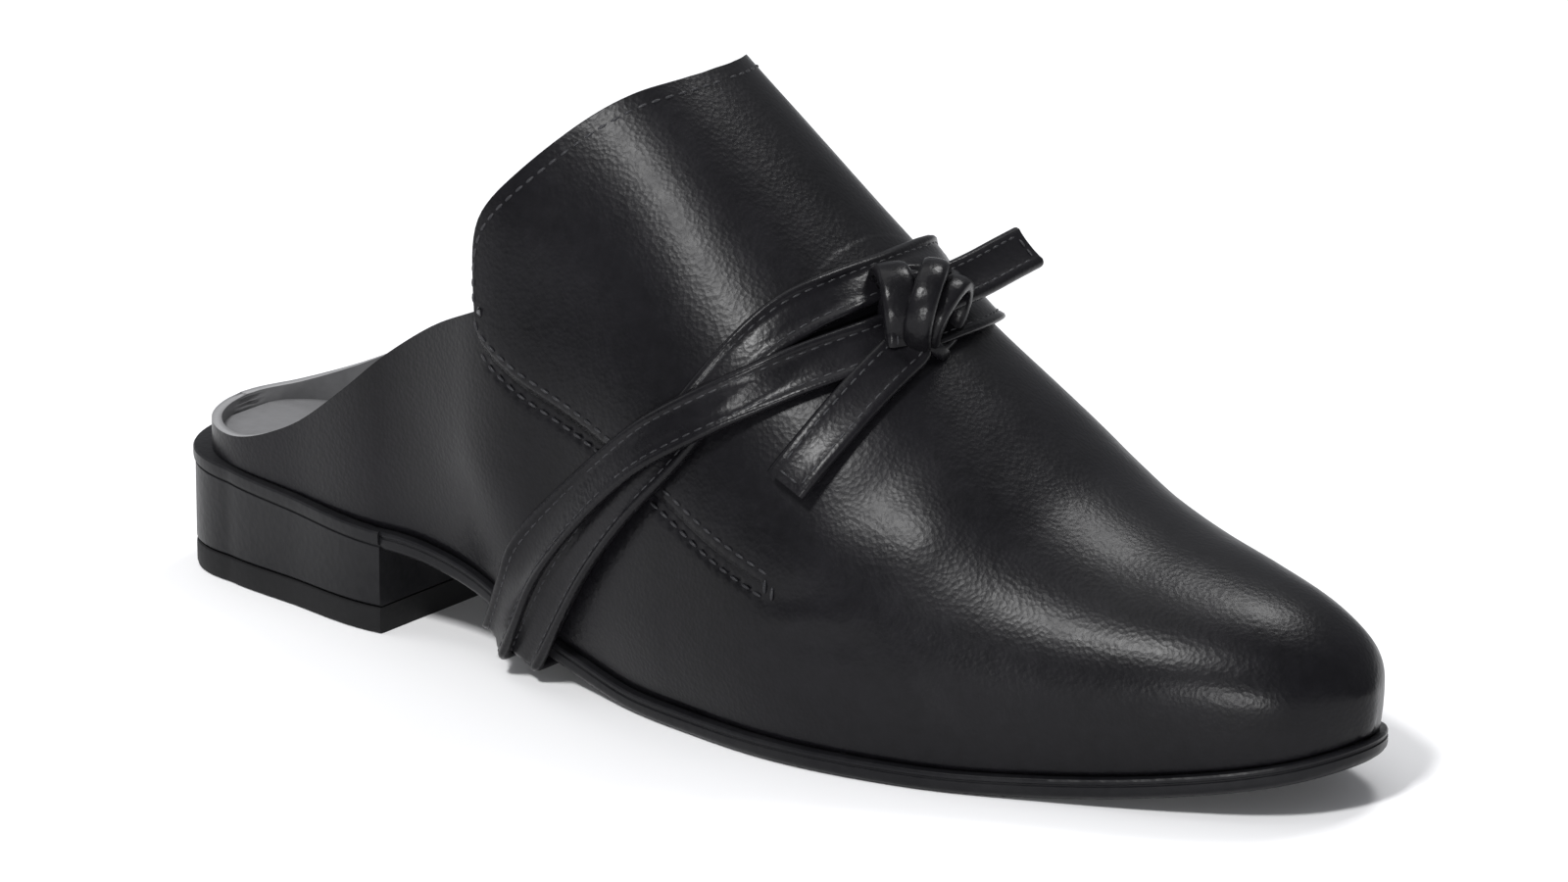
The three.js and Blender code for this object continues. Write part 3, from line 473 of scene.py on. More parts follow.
# ---- the upper: a lower patch from the sole to collar and seam, and an upper patch above the seam
COLUMNS_COLLAR, COLUMNS_SEAM, COLUMNS_VAMP = 76, 150, 104
ROWS_LOW, ROWS_HIGH = 28, 46
SEAM_END = float(SEAM["at"][-1]) * LENGTH
FOOT_LEAN = -7.0  # the columns lean back this far at the sole below the seam's start
TONGUE_SETTLE = 78.0  # the columns stand upright this far in front of the seam's start
PROUD_FADE, PROUD_PAST = 44.0, 4.0  # the tongue piece's step sinks over this length, to just past the seam
PULL_FROM, DIP_FROM = 90.0, 92.0  # from here the stitches pull the leather in, and the quarter dips
DIP, DIP_REACH = 0.35, 2.0  # depth of that dip, and how far down it reaches
LIP_ROUND, LIP_REACH = 0.45, 0.7  # share of the step that the tongue piece's lip loses, and how far up
PUCKER_DEPTH, PUCKER_REACH, PUCKER_WAVE = 0.42, 0.75, 0.4
SEAM_SLANT = 0.86  # share of a stitch's pitch that it takes up along the shoe
CALM_TOE, CALM_HEEL, CALM_RIDGE = 12.0, 8.0, 5.0  # the creases fade out over these lengths
UNDERLAP, UNDERLAP_SUNK, UNDERLAP_SHORT = 1.5, 0.45, 10.0  # the quarter's strip under the tongue piece


def seam_line(side):
    """Collar, seam, and a line that runs on to the tip: one side-view line with its columns."""
    collar = spline(above_sole(COLLAR, side), COLUMNS_COLLAR, lambda t: 1 - np.cos(np.pi / 2 * t) ** 1.4)
    seam = spline(above_sole(SEAM, side), COLUMNS_SEAM)
    t = np.linspace(0, 1, COLUMNS_VAMP)[1:]
    y = lerp(SEAM_END, TIP, np.sin(np.pi / 2 * t))
    start = seam[-1, 1]
    level = full_height(y) + (start - float(full_height(SEAM_END))) * (1 - t) ** 1.5
    collar[:, 0] = np.maximum(collar[:, 0], UPPER_BACK)
    line = np.vstack([collar[:-1], seam, np.stack([y, level], -1)])
    line[:, 0] = np.maximum.accumulate(line[:, 0])
    if side == INNER:
        # both sides share their places along the shoe, so that they meet at the ridge
        shared = seam_line(OUTER)[:, 0]
        line = np.stack([shared, np.interp(shared, line[:, 0], line[:, 1])], -1)
    return line


def low_patch(side):
    """Side-view grid of the lower patch, a column for each place of the seam line."""
    top = seam_line(side)
    y = top[:, 0].copy()
    corner = COLUMNS_COLLAR - 1
    stations = np.arange(len(y))
    lean = np.interp(stations, [0, corner, corner + COLUMNS_SEAM - 1, len(y) - 1], [0, FOOT_LEAN, 0, 0])
    foot_y = np.minimum(y + lean * smooth(stations / corner), UPPER_FRONT)
    foot = np.stack([foot_y, sole_top(foot_y) + GAP], -1)
    v = np.sin(np.pi / 2 * np.linspace(0, 1, ROWS_LOW)) ** 1.15
    grid = foot[:, None] + (top - foot)[:, None] * v[None, :, None]
    # past the sole the leather bulges over its edge
    past = top[:, 0] > UPPER_FRONT
    bulge = np.sqrt(1 - (1 - v) ** 2)
    grid[past, :, 0] = foot_y[past, None] + (top[past, 0] - foot_y[past])[:, None] * bulge[None]
    return grid


def high_patch(side):
    """Side-view grid of the upper patch, from seam to ridge; its first column is the tongue's edge."""
    bottom = seam_line(side)[COLUMNS_COLLAR - 1:]
    count = len(bottom)
    edge = tongue_edge(side)
    share = (bottom[:, 0] - bottom[0, 0]) / (TIP - bottom[0, 0])
    ridge_y = lerp(edge[-1, 0], TIP, share)
    settle = smooth((bottom[:, 0] - bottom[0, 0]) / TONGUE_SETTLE)
    ridge_y = lerp(ridge_y, bottom[:, 0], settle)
    ridge_y = np.maximum.accumulate(ridge_y)
    top = np.stack([ridge_y, ridge_height(ridge_y)], -1)
    v = np.sin(np.pi / 2 * np.linspace(0, 1, ROWS_HIGH))
    grid = bottom[:, None] + (top - bottom)[:, None] * v[None, :, None]
    straight = edge[0] + (edge[-1] - edge[0]) * v[:, None]
    fade = (1 - smooth(np.arange(count) / (COLUMNS_SEAM * 0.8)))[:, None, None]
    grid += (edge - straight)[None] * fade
    return grid


def tongue_edge(side):
    corner = above_sole(COLLAR, side)[-1, 1]
    rows = np.stack([TONGUE_EDGE["at"] * LENGTH, lerp(corner, TONGUE_HEIGHT, TONGUE_EDGE["up"])], -1)
    rows[-1] = (TONGUE_EDGE["at"][-1] * LENGTH, float(ridge_height(TONGUE_EDGE["at"][-1] * LENGTH)))
    return spline(rows, ROWS_HIGH, lambda t: np.sin(np.pi / 2 * t) ** 1.1)


def proud_at(y):
    """How far the tongue piece stands out beyond the quarter."""
    return OVERLAY * smooth((SEAM_END + PROUD_PAST - y) / PROUD_FADE)


# Main creases and hollows of the leather: place, height, reach along and across, turn, depth
CREASES = [
    # outer side, low on the vamp in front of the seam's end
    (OUTER, 184.0, 17.0, 3.2, 9.0, 40, -0.35),
    (OUTER, 189.5, 15.5, 2.6, 8.0, 44, 0.22),
    (OUTER, 178.0, 19.0, 3.0, 8.0, 34, 0.2),
    (OUTER, 195.0, 18.0, 2.8, 7.0, 48, -0.22),
    # pull of the seam's end
    (OUTER, 163.5, 31.0, 7.0, 3.0, 12, -0.5),
    (OUTER, 172.0, 29.0, 9.0, 2.6, 8, 0.28),
    (OUTER, 170.0, 24.0, 10.0, 3.0, 4, -0.25),
    # dents under the lying end and by the knot
    (OUTER, 176.0, 52.0, 8.0, 5.0, 60, -0.5),
    (OUTER, 186.0, 44.0, 9.0, 5.0, 50, 0.35),
    (OUTER, 170.0, 41.0, 6.0, 6.0, 30, 0.3),
    # tongue's side, where it bends into the strap
    (OUTER, 112.0, 73.0, 9.0, 16.0, 55, -0.5),
    (OUTER, 101.0, 84.0, 6.0, 13.0, 65, 0.3),
    (OUTER, 122.0, 62.0, 8.0, 10.0, 45, 0.3),
    # quarter
    (OUTER, 78.0, 37.0, 8.0, 12.0, 60, -0.35),
    (OUTER, 92.0, 38.0, 7.0, 9.0, 50, 0.25),
    (INNER, 176.0, 30.0, 8.0, 4.0, 20, -0.45),
    (INNER, 186.0, 22.0, 4.0, 9.0, 40, -0.3),
    (INNER, 192.0, 24.0, 3.5, 8.0, 46, 0.25),
    (INNER, 108.0, 74.0, 9.0, 16.0, 55, -0.45),
    (INNER, 84.0, 40.0, 8.0, 11.0, 55, -0.3),
]


def crease_depth(y, z, side):
    depth = np.zeros(np.shape(y))
    for at_side, cy, cz, along, across, turn, deep in CREASES:
        if at_side != side:
            continue
        c, s = math.cos(math.radians(turn)), math.sin(math.radians(turn))
        u, v = (y - cy) * c + (z - cz) * s, -(y - cy) * s + (z - cz) * c
        depth += deep * np.exp(-(u / along) ** 2 - (v / across) ** 2)
    return depth


def pucker(y, off):
    """The stitch rows pull the leather in beside the seam, a little more at each stitch."""
    along = smooth((y - PULL_FROM) / 4.0) * smooth((SEAM_END + 2 - y) / 6.0)
    wave = 1 - PUCKER_WAVE + PUCKER_WAVE * np.cos(2 * np.pi * y / (STITCH_PITCH * SEAM_SLANT))
    return PUCKER_DEPTH * along * wave * np.exp(-((off - SEAM_ROW) / PUCKER_REACH) ** 2)


def calm_at(y, z):
    """Creases fade out at the toe, the heel and the ridge."""
    ends = smooth((TIP - y) / CALM_TOE) * smooth((y - UPPER_BACK) / CALM_HEEL)
    return ends * smooth((ridge_height(y) - z) / CALM_RIDGE)


def distance_from(grid, row):
    """Side-view distance of each grid point from its column's point in a row."""
    return np.linalg.norm(grid - grid[:, row][:, None], axis=-1)


def skin_points(y, z, side, out=0.0):
    """Places on the upper's outside, or this far out from it."""
    half = half_at(y, z, side)
    place = np.stack([middle_at(y) + side * half, y, z], -1)
    return place + skin_normal(y, z, side) * np.asarray(out)[..., None]


def ridge_points(y, step=0.4):
    """Places on the ridge, the same from both sides."""
    slope = (ridge_height(y + step) - ridge_height(y - step)) / (2 * step)
    rise = proud_at(y) / np.hypot(slope, 1)
    return np.stack([middle_at(y), y - slope * rise, ridge_height(y) + rise], -1)


def underlap(side, top):
    """A strip of the quarter that runs on under the tongue piece, from the lower patch's top row."""
    above = high_patch(side)
    rise = above[:, 2] - above[:, 0]
    lap = above[:, 0] + rise * (UNDERLAP / np.linalg.norm(rise, axis=-1))[:, None]
    kept = lap[:, 0] < SEAM_END - UNDERLAP_SHORT
    under = skin_points(lap[kept, 0], lap[kept, 1], side, np.full(kept.sum(), -UNDERLAP_SUNK))
    return np.stack([top[kept], under], 1)


def upper_shell():
    points, faces, count = [], [], 0
    for side in (OUTER, INNER):
        for high in (False, True):
            grid = high_patch(side) if high else low_patch(side)
            y, z = grid[..., 0], grid[..., 1]
            out = crease_depth(y, z, side) * calm_at(y, z)
            if high:
                lip = distance_from(grid, 0)
                roundness = 1 - LIP_ROUND * np.exp(-(lip / LIP_REACH) ** 2)
                out = out + proud_at(y) * roundness - pucker(y, lip)
            else:
                # the quarter dips under the tongue piece along the seam
                near = distance_from(grid, -1)
                seam = smooth((y - DIP_FROM) / 6.0) * smooth((SEAM_END - y) / 10.0)
                out = out - DIP * seam * np.exp(-(near / DIP_REACH) ** 2) - pucker(y, near)
            place = skin_points(y, z, side, out)
            closed = np.abs(half_at(y, z, side)) < 1e-6
            place[..., 0] = np.where(closed, middle_at(y), place[..., 0])
            place[-1, :, 0] = middle_at(y[-1])
            if high:
                place[:, -1] = ridge_points(y[:, -1])
            patches = [place] if high else [place, underlap(side, place[COLUMNS_COLLAR - 1:, -1])]
            for patch in patches:
                rows, columns = patch.shape[:2]
                points.append(patch.reshape(-1, 3))
                faces += grid_faces(rows, columns, count, flip=side == OUTER)
                count += rows * columns
    return np.vstack(points), faces


SKIN_SLOT, LINING_SLOT, RIM_SLOT = 0, 1, 2
SEAM_BAND = 2.8  # rim faces this near the seam line belong to the seam


def thicken(piece):
    """Gives the skin its wall, with the lining inside and a cut edge at its rims."""
    shell = piece.modifiers.new("wall", "SOLIDIFY")
    shell.thickness = WALL * MM
    shell.offset = -1
    shell.use_even_offset = False
    shell.material_offset = LINING_SLOT
    shell.material_offset_rim = RIM_SLOT
    walled = bpy.data.meshes.new_from_object(piece.evaluated_get(bpy.context.evaluated_depsgraph_get()))
    piece.modifiers.clear()
    piece.data = walled


def dress_seam(mesh):
    """Along the slit seam the wall's cut faces are leather outside and lining inside, not a bare edge."""
    seam_of = {side: seam_line(side).T for side in (OUTER, INNER)}
    for face in mesh.polygons:
        x, y, z = np.array(face.center) / MM - SHIFT
        if face.material_index != RIM_SLOT or not DIP_FROM < y < SEAM_END + PROUD_PAST:
            continue
        if abs(z - np.interp(y, *seam_of[OUTER if x > middle_at(y) else INNER])) < SEAM_BAND:
            face.material_index = SKIN_SLOT if face.normal.z < 0 else LINING_SLOT


upper = mesh_piece("upper_leather", *upper_shell(), [BLACK, LINING, RIM], "upper_leather", ["upper"])
clean_mesh(upper, join_within=3e-5, least_edge=5e-6)
thicken(upper)
dress_seam(upper.data)


# ---- sock inside
SOCK_BACK, SOCK_FRONT, SOCK_SIDE = 2.6, 3.4, 0.25  # it ends this far inside the upper
SOCK_EDGE = ((INSOLE_THICKNESS, 0.0), (0.9, 0.0), (0.25, 0.5), (0.0, 1.3))  # depth below its top, and inset
SOCK_CROWN, CROWN_FADE = 0.7, 26.0


def sock():
    """Closed rings from the heel to the toe: up the inner edge, over the crown and down the outer edge."""
    stations, across = 120, 28
    u = np.linspace(0, 1, stations)
    y = lerp(UPPER_BACK + SOCK_BACK, TIP - SOCK_FRONT, (1 - np.cos(np.pi * u)) / 2)
    edges = {INNER: [], OUTER: []}
    for depth, inset in SOCK_EDGE:
        z = sole_top(y) + GAP + INSOLE_THICKNESS - depth
        wall = WALL + GAP + SOCK_SIDE + inset
        for side, edge in edges.items():
            half = np.maximum(half_at(y, z, side) - wall, 0.02)
            edge.append(np.stack([middle_at(y) + side * half, y, z], -1))
    low, high = edges[INNER][-1][:, None], edges[OUTER][-1][:, None]
    t = np.linspace(0, 1, across)[1:-1, None]
    crown = lerp(low, high, t)
    crown[..., 2] += (SOCK_CROWN * np.sin(np.pi * t[:, 0])
                      * smooth(np.minimum(y - UPPER_BACK, TIP - y) / CROWN_FADE)[:, None])
    rings = np.concatenate([np.stack(edges[INNER], 1), crown, np.stack(edges[OUTER][::-1], 1)], 1)
    n = rings.shape[1]
    faces = grid_faces(stations, n, wrap_columns=True)
    faces += [tuple(range(n)), tuple(range((stations - 1) * n, stations * n))]
    closed_piece("sock_lining", rings.reshape(-1, 3), faces, [SOCK], "sock", ["insole"], 50)


sock()


# ---- outsole, heel and top piece
def foot_edge(y, side):
    return middle_at(y) + side * foot_half(y, side)


def outline(stations, margin_at, back, front):
    """Points round the foot's outline, moved out by a margin: outer side from the back, then the inner side."""
    turn = angle_at(np.array([back, front]), UPPER_FRONT)
    a = np.linspace(turn[0], turn[1], stations)
    y = lerp(UPPER_BACK, UPPER_FRONT, (1 - np.cos(a)) / 2)
    loops = []
    step = 0.5
    for side in (OUTER, INNER):
        lo, hi = np.clip(y - step, UPPER_BACK, UPPER_FRONT), np.clip(y + step, UPPER_BACK, UPPER_FRONT)
        rise, run = foot_edge(hi, side) - foot_edge(lo, side), hi - lo
        size = np.hypot(rise, run)
        at_back, at_front = y <= UPPER_BACK + 1e-6, y >= UPPER_FRONT - 1e-6
        nx = np.where(at_back | at_front, 0, side * run / size)
        ny = np.where(at_back, -1, np.where(at_front, 1, -side * rise / size))
        margin = margin_at(y)
        loops.append(np.stack([foot_edge(y, side) + nx * margin, y + ny * margin], -1))
    return loops


def layered(name, layers, stations, materials, slot, replaces, square_front=None, angle=32, underside=0):
    """Closed form through stacked outlines; each layer is a margin and a height, both read at y."""
    points, faces, slots = [], [], []
    for margin_at, height_at, back, front in layers:
        outer, inner = outline(stations, margin_at, back, front)
        if square_front is not None:
            outer[-1, 1] = inner[-1, 1] = square_front
        ring = np.vstack([outer, inner[::-1]])
        points.append(np.column_stack([ring, height_at(ring[:, 1])]))
    n = 2 * stations
    for k in range(len(layers) - 1):
        for i in range(n):
            j = (i + 1) % n
            faces.append((k * n + i, k * n + j, (k + 1) * n + j, (k + 1) * n + i))
            slots.append(0)
    for k, flip in ((0, True), (len(layers) - 1, False)):
        for i in range(stations - 1):
            a, b = k * n + i, k * n + i + 1
            c, d = k * n + n - 2 - i, k * n + n - 1 - i
            faces.append((a, d, c, b) if flip else (a, b, c, d))
            slots.append(underside if flip else 0)
    piece = closed_piece(name, np.vstack(points), faces, materials, slot, replaces, None, slots)
    piece.data.shade_smooth()
    piece.data.set_sharp_from_angle(angle=math.radians(angle))


def sole_margin(y):
    return lerp(-GAP, SOLE_EDGE, smooth((y - HEEL_LENGTH + LEDGE_BACK) / LEDGE_BACK))


def ledge_at(y):
    back = LEDGE_BACK * (1 - smooth((y - UPPER_BACK) / LEDGE_FADE))
    return np.maximum(back, lerp(LEDGE_SIDE, LEDGE_BREAST, smooth(y / HEEL_LENGTH)))


# Section of the sole's edge: inset from its widest, and depth below its top
SOLE_PROFILE = [(1.25, 4.0), (0.55, 3.62), (0.12, 3.1), (0.0, 2.55), (0.0, 1.55), (0.28, 1.35),
                (0.28, 1.15), (0.02, 0.95), (0.0, 0.5), (0.2, 0.14), (0.6, 0.0)]
layered(
    "outsole_edge",
    [(lambda y, i=i: sole_margin(y) - i, lambda y, d=d: sole_top(y) - d, UPPER_BACK, UPPER_FRONT)
     for i, d in SOLE_PROFILE],
    150, [SOLE, TREAD], "sole", ["outsole"], underside=1,
)
# Section of the heel block: inset, drop or rise, and 1 where it counts from the top piece upwards
HEEL_PROFILE = [(0.75, 0.0, 1.0), (0.42, 0.35, 1.0), (0.4, 0.9, 1.0), (0.4, 4.0, 0.0), (0.36, 3.2, 0.0),
                (0.62, 3.0, 0.0), (0.62, 2.75, 0.0), (0.1, 2.5, 0.0), (0.0, 1.9, 0.0), (0.02, 0.5, 0.0),
                (0.25, 0.15, 0.0), (0.7, 0.0, 0.0)]


def heel_height(drop, from_floor):
    """Height of a heel layer: above the top piece, or below the sole's top."""
    if from_floor:
        return lambda y: TOP_PIECE + GAP + drop + 0 * y
    return lambda y: sole_top(y) - drop


layered(
    "heel_block",
    [(lambda y, i=i: ledge_at(y) - i, heel_height(d, low), UPPER_BACK, HEEL_LENGTH)
     for i, d, low in HEEL_PROFILE],
    56, [HEEL], "heel", ["heel"], square_front=HEEL_LENGTH,
)
# Section of the top piece: inset, and height over the floor
TOP_PROFILE = [(1.2, 0.0), (0.6, 0.25), (0.42, 0.9), (0.4, 4.3), (0.5, 4.75), (0.8, 5.0)]
layered(
    "heel_top",
    [(lambda y, i=i: ledge_at(y) - i, lambda y, h=h: h + 0 * y, UPPER_BACK, HEEL_LENGTH)
     for i, h in TOP_PROFILE],
    56, [RUBBER], "top_piece", ["heel_top_piece"], square_front=HEEL_LENGTH,
)


# ---- the tie's bands
def turn_path(rows):
    """Side-view path of a turn, run straight on at both ends."""
    line = spline(np.stack([rows["at"] * LENGTH, rows["up"] * INSTEP_HEIGHT], -1), 160)
    reach = reach_along(line)
    tangent = unit(np.gradient(line, reach, axis=0))

    def place(s, shift):
        inside = np.clip(s, 0, reach[-1])
        along = unit(read_line(tangent, reach, inside))
        across = np.stack([-along[..., 1], along[..., 0]], -1)
        return read_line(line, reach, inside) + along * (s - inside)[..., None] + across * shift
    return place, line


def girth_points(place, shift):
    """Section of the shoe along a turn: distance to the side, and place along the turn."""
    s = np.linspace(-2 * STRAP_WIDTH, INSTEP_HEIGHT + 3 * STRAP_WIDTH, GIRTH_POINTS)
    y, z = place(s, shift).T
    proud = proud_at(y)
    on_upper = (z > sole_top(y)) & (z <= ridge_height(y) + proud)
    on_sole = (z <= sole_top(y)) & (z >= sole_top(y) - SOLE_THICKNESS)
    found = []
    for side in (OUTER, INNER):
        upper_half = half_at(y, np.minimum(z, ridge_height(y)), side) + proud
        half = np.where(on_upper, upper_half, foot_half(y, side) + SOLE_EDGE) + side * middle_at(y)
        keep = on_upper | on_sole
        found.append(np.stack([side * half[keep], s[keep]], -1))
    return np.vstack(found)


# Section of a folded band: share of the half width, and height over its underside
BAND_SECTION = [
    (-0.93, 0.0), (-1.0, 0.45), (-1.03, 1.1), (-1.0, 1.75), (-0.93, 2.2), (-0.82, 2.35), (-0.7, 2.15),
    (-0.6, 1.85), (-0.3, 1.9), (0.0, 1.95), (0.3, 1.9), (0.6, 1.85), (0.7, 2.15), (0.82, 2.35),
    (0.93, 2.2), (1.0, 1.75), (1.03, 1.1), (1.0, 0.45), (0.93, 0.0),
]
BAND_STEPS, BAND_EASING = 220, 14
BAND_SNUG = 0.35  # the soft band lies this much closer than its solid
CROSSING_LIFT, LIFT_FROM, LIFT_OVER = 2.15, 0.95, 0.6  # the last two are shares of the band's width
GIRTH_POINTS = 420


def band(rows, lift_at=lambda s, shift: 0.0):
    """Grid of one turn: a ring round the shoe for each point of the band's section."""
    place, _ = turn_path(rows)
    a = np.linspace(0, 2 * np.pi, BAND_STEPS, endpoint=False)
    out = np.stack([np.cos(a), np.sin(a)], -1)
    rings = []
    for share, height in BAND_SECTION:
        shift = share * STRAP_WIDTH / 2
        girth = girth_points(place, shift)
        far = girth[np.argmax(girth @ out.T, axis=0)]
        slack = STRAP_SLACK * np.maximum(0, -out[:, 1]) ** 2
        off = GAP + STRAP_EASE - BAND_SNUG + height + slack + lift_at(far[:, 1], shift)
        p = far + out * off[:, None]
        rings.append(np.column_stack([p[:, 0], place(p[:, 1], shift)]))
    grid = np.array(rings)
    # even out the corners that the farthest points leave
    for _ in range(BAND_EASING):
        grid = 0.5 * grid + 0.25 * (np.roll(grid, 1, axis=1) + np.roll(grid, -1, axis=1))
    return grid


def crossing_lift():
    """The rear turn rides up over the front one where they cross."""
    rear, _ = turn_path(REAR_TURN)
    _, front_line = turn_path(FRONT_TURN)

    def lift(s, shift):
        gap = np.min(np.linalg.norm(rear(s, shift)[:, None] - front_line[None], axis=-1), axis=1)
        return CROSSING_LIFT * smooth((STRAP_WIDTH * LIFT_FROM - gap) / (STRAP_WIDTH * LIFT_OVER))
    return lift


bands = Parts()
turn_grids = [band(FRONT_TURN), band(REAR_TURN, crossing_lift())]
for grid in turn_grids:
    bands.add(grid.reshape(-1, 3), grid_faces(len(BAND_SECTION), BAND_STEPS, wrap_rows=True, wrap_columns=True))
bands.piece("tie_bands", TIE, "tie_leather", ["strap_bands"])


# ---- knot and free ends
def frames_along(line, up, closed=False):
    """Directions along, across and out of a flat band that follows a line."""
    along = unit(np.roll(line, -1, 0) - np.roll(line, 1, 0) if closed else np.gradient(line, axis=0))
    across = unit(np.cross(up, along))
    return along, across, np.cross(along, across)


EDGE_BEAD, ROLLED_BEAD, BEAD_AT, BEAD_WIDE = 0.18, 0.16, 0.78, 0.1  # heights, and shares of the half width


def flat_section(width, thick, bead=EDGE_BEAD):
    """Closed outline of a folded band: rounded edges with a slightly sunk middle."""
    w, t = width / 2, thick / 2
    top = [(-0.93 * w, 0.92 * t), (-0.8 * w, t + bead), (-0.62 * w, t), (-0.3 * w, 0.86 * t), (0, 0.84 * t),
           (0.3 * w, 0.86 * t), (0.62 * w, t), (0.8 * w, t + bead), (0.93 * w, 0.92 * t)]
    right = [(w, 0.5 * t), (1.02 * w, 0), (w, -0.5 * t)]
    bottom = [(0.93 * w, -0.92 * t), (0.6 * w, -t), (0, -t), (-0.6 * w, -t), (-0.93 * w, -0.92 * t)]
    left = [(-w, -0.5 * t), (-1.02 * w, 0), (-w, 0.5 * t)]
    return np.array(top + right + bottom + left)


def rolled_section(width, thick, steps=20, square=2.6):
    """Closed outline of a band that the knot has rolled plump, with a low bead on each edge."""
    a = np.linspace(np.pi, -np.pi, steps, endpoint=False)
    across = np.sign(np.cos(a)) * np.abs(np.cos(a)) ** (2 / square) * width / 2
    high = np.sign(np.sin(a)) * np.abs(np.sin(a)) ** (2 / square) * thick / 2
    bead = ROLLED_BEAD * np.exp(-((np.abs(across) / (width / 2) - BEAD_AT) / BEAD_WIDE) ** 2)
    return np.stack([across, high + np.where(high > 0, bead, 0)], -1)


def sweep(line, up, section, closed=False, scale=1.0):
    """A section carried along a line."""
    _, across, out = frames_along(line, up, closed)
    section = section[None] * np.broadcast_to(scale, len(line))[:, None, None]
    grid = line[:, None] + across[:, None] * section[..., :1] + out[:, None] * section[..., 1:]
    n = len(section[0])
    faces = grid_faces(len(line), n, wrap_rows=closed, wrap_columns=True)
    points = grid.reshape(-1, 3)
    if not closed:
        faces += [tuple(range(n)), tuple(range((len(line) - 1) * n, len(line) * n))[::-1]]
    return points, faces


# The knot's own directions: out of the instep towards the viewer's side, across and up the instep
KNOT_OUT = np.array([0.753, 0.588, 0.296])
KNOT_ACROSS = np.array([-0.615, 0.788, 0.0])
KNOT_UP = np.cross(KNOT_OUT, KNOT_ACROSS)
KNOT_FRAME = np.array([KNOT_ACROSS, KNOT_UP, KNOT_OUT])


def knot_wrap(centre, normal, radii, width, thick, wave, steps=60):
    """One closed wrap of the tie; centre and normal are read across, up and out of the knot."""
    a = np.linspace(0, 2 * np.pi, steps, endpoint=False)
    axis = np.array(normal, float) / np.linalg.norm(normal)
    first = np.cross(axis, [0.0, 0.0, 1.0])
    first /= np.linalg.norm(first)
    second = np.cross(axis, first)
    ring = radii[0] * np.cos(a)[:, None] * first + radii[1] * np.sin(a)[:, None] * second
    outward = unit(np.cos(a)[:, None] / radii[0] * first + np.sin(a)[:, None] / radii[1] * second)
    ring = ring + wave * np.sin(2 * a)[:, None] * axis + np.array(centre)
    return sweep(ring @ KNOT_FRAME + KNOT_AT, outward @ KNOT_FRAME, rolled_section(width, thick), closed=True)


# Wraps of the knot: centre across, up, out; plane's normal; radii; width and thickness; wave
KNOT_WRAPS = [
    # the wide loop on the left, upright
    ((-3.0, 0.2, -0.9), (1.0, 0.14, -0.16), (7.0, 6.3), 6.4, 2.7, 0.15),
    # the crown, which catches the light
    ((2.9, 0.4, 0.1), (1.0, -0.22, 0.16), (7.2, 6.8), 5.2, 3.3, 0.2),
    # ridges that bend round on the right
    ((6.4, -1.2, -1.5), (0.9, -0.42, 0.30), (6.3, 5.6), 3.9, 2.8, 0.2),
    # across the top, to the standing end
    ((1.4, 5.2, -2.8), (0.12, 1.0, 0.15), (6.4, 4.8), 4.4, 2.5, 0.2),
    # collar round the lying end, where it comes out below
    ((1.8, -5.8, -2.2), (-0.5, -0.85, 0.1), (4.5, 4.0), 2.6, 2.0, 0.1),
]
CORE_ROUND, CORE_HIGH = 24, 14
CORE_RADII, CORE_AT, CORE_POLE = np.array([6.4, 6.6, 5.4]), (0.4, -0.4, -1.0), 0.12


def knot_core():
    """The rounded body inside the wraps."""
    u, v = np.meshgrid(np.linspace(0, 2 * np.pi, CORE_ROUND, endpoint=False),
                       np.linspace(CORE_POLE, np.pi - CORE_POLE, CORE_HIGH))
    ball = np.stack([np.cos(u) * np.sin(v), np.sin(u) * np.sin(v), np.cos(v)], -1).reshape(-1, 3)
    caps = [tuple(range(CORE_ROUND)), tuple(range(len(ball) - CORE_ROUND, len(ball)))[::-1]]
    faces = grid_faces(CORE_HIGH, CORE_ROUND, wrap_columns=True) + caps
    return (ball * CORE_RADII + CORE_AT) @ KNOT_FRAME + KNOT_AT, faces


knot = Parts()
for wrap in KNOT_WRAPS:
    knot.add(*knot_wrap(*wrap))
knot.add(*knot_core())
knot_piece = knot.piece("knot_wraps", TIE, "tie_leather", ["tie_knot"])

# Each free end begins with one turn inside the knot: its radius, and how far behind the knot's middle it lies
NEAR_RADIUS, FAR_RADIUS, HIDDEN_BACK = 3.6, 3.5, -1.0
NEAR_TURN, FAR_TURN = (350, 0), (-315, 45)  # its angles in degrees
# Middles of the lying end on the vamp, from the knot down to its square-cut tip: along the shoe, and height
NEAR_WAY = [(168.0, 72.5), (167.5, 67.5), (165.8, 61.5), (163.5, 55.5), (161.0, 50.0)]
NEAR_CLEAR, NEAR_LIFT = 2 * GAP + STRAP_THICKNESS / 2, 1.1
NEAR_STEPS, NEAR_HIDDEN = 40, 43
# Middles of the standing end, from the knot to its tip on the inner side
FAR_WAY = [(1.0, 168.0, 79.0), (-4.5, 168.3, 79.4), (-10.5, 168.7, 80.0), (-17.5, 168.7, 80.7),
           (-24.5, 168.5, 81.2)]
FAR_FACE, FAR_STEPS = np.array([0.1, 0.7, 0.7]), 70
END_TAPER, END_NARROW = 10, 0.62  # the hidden start is this narrow and widens over these steps


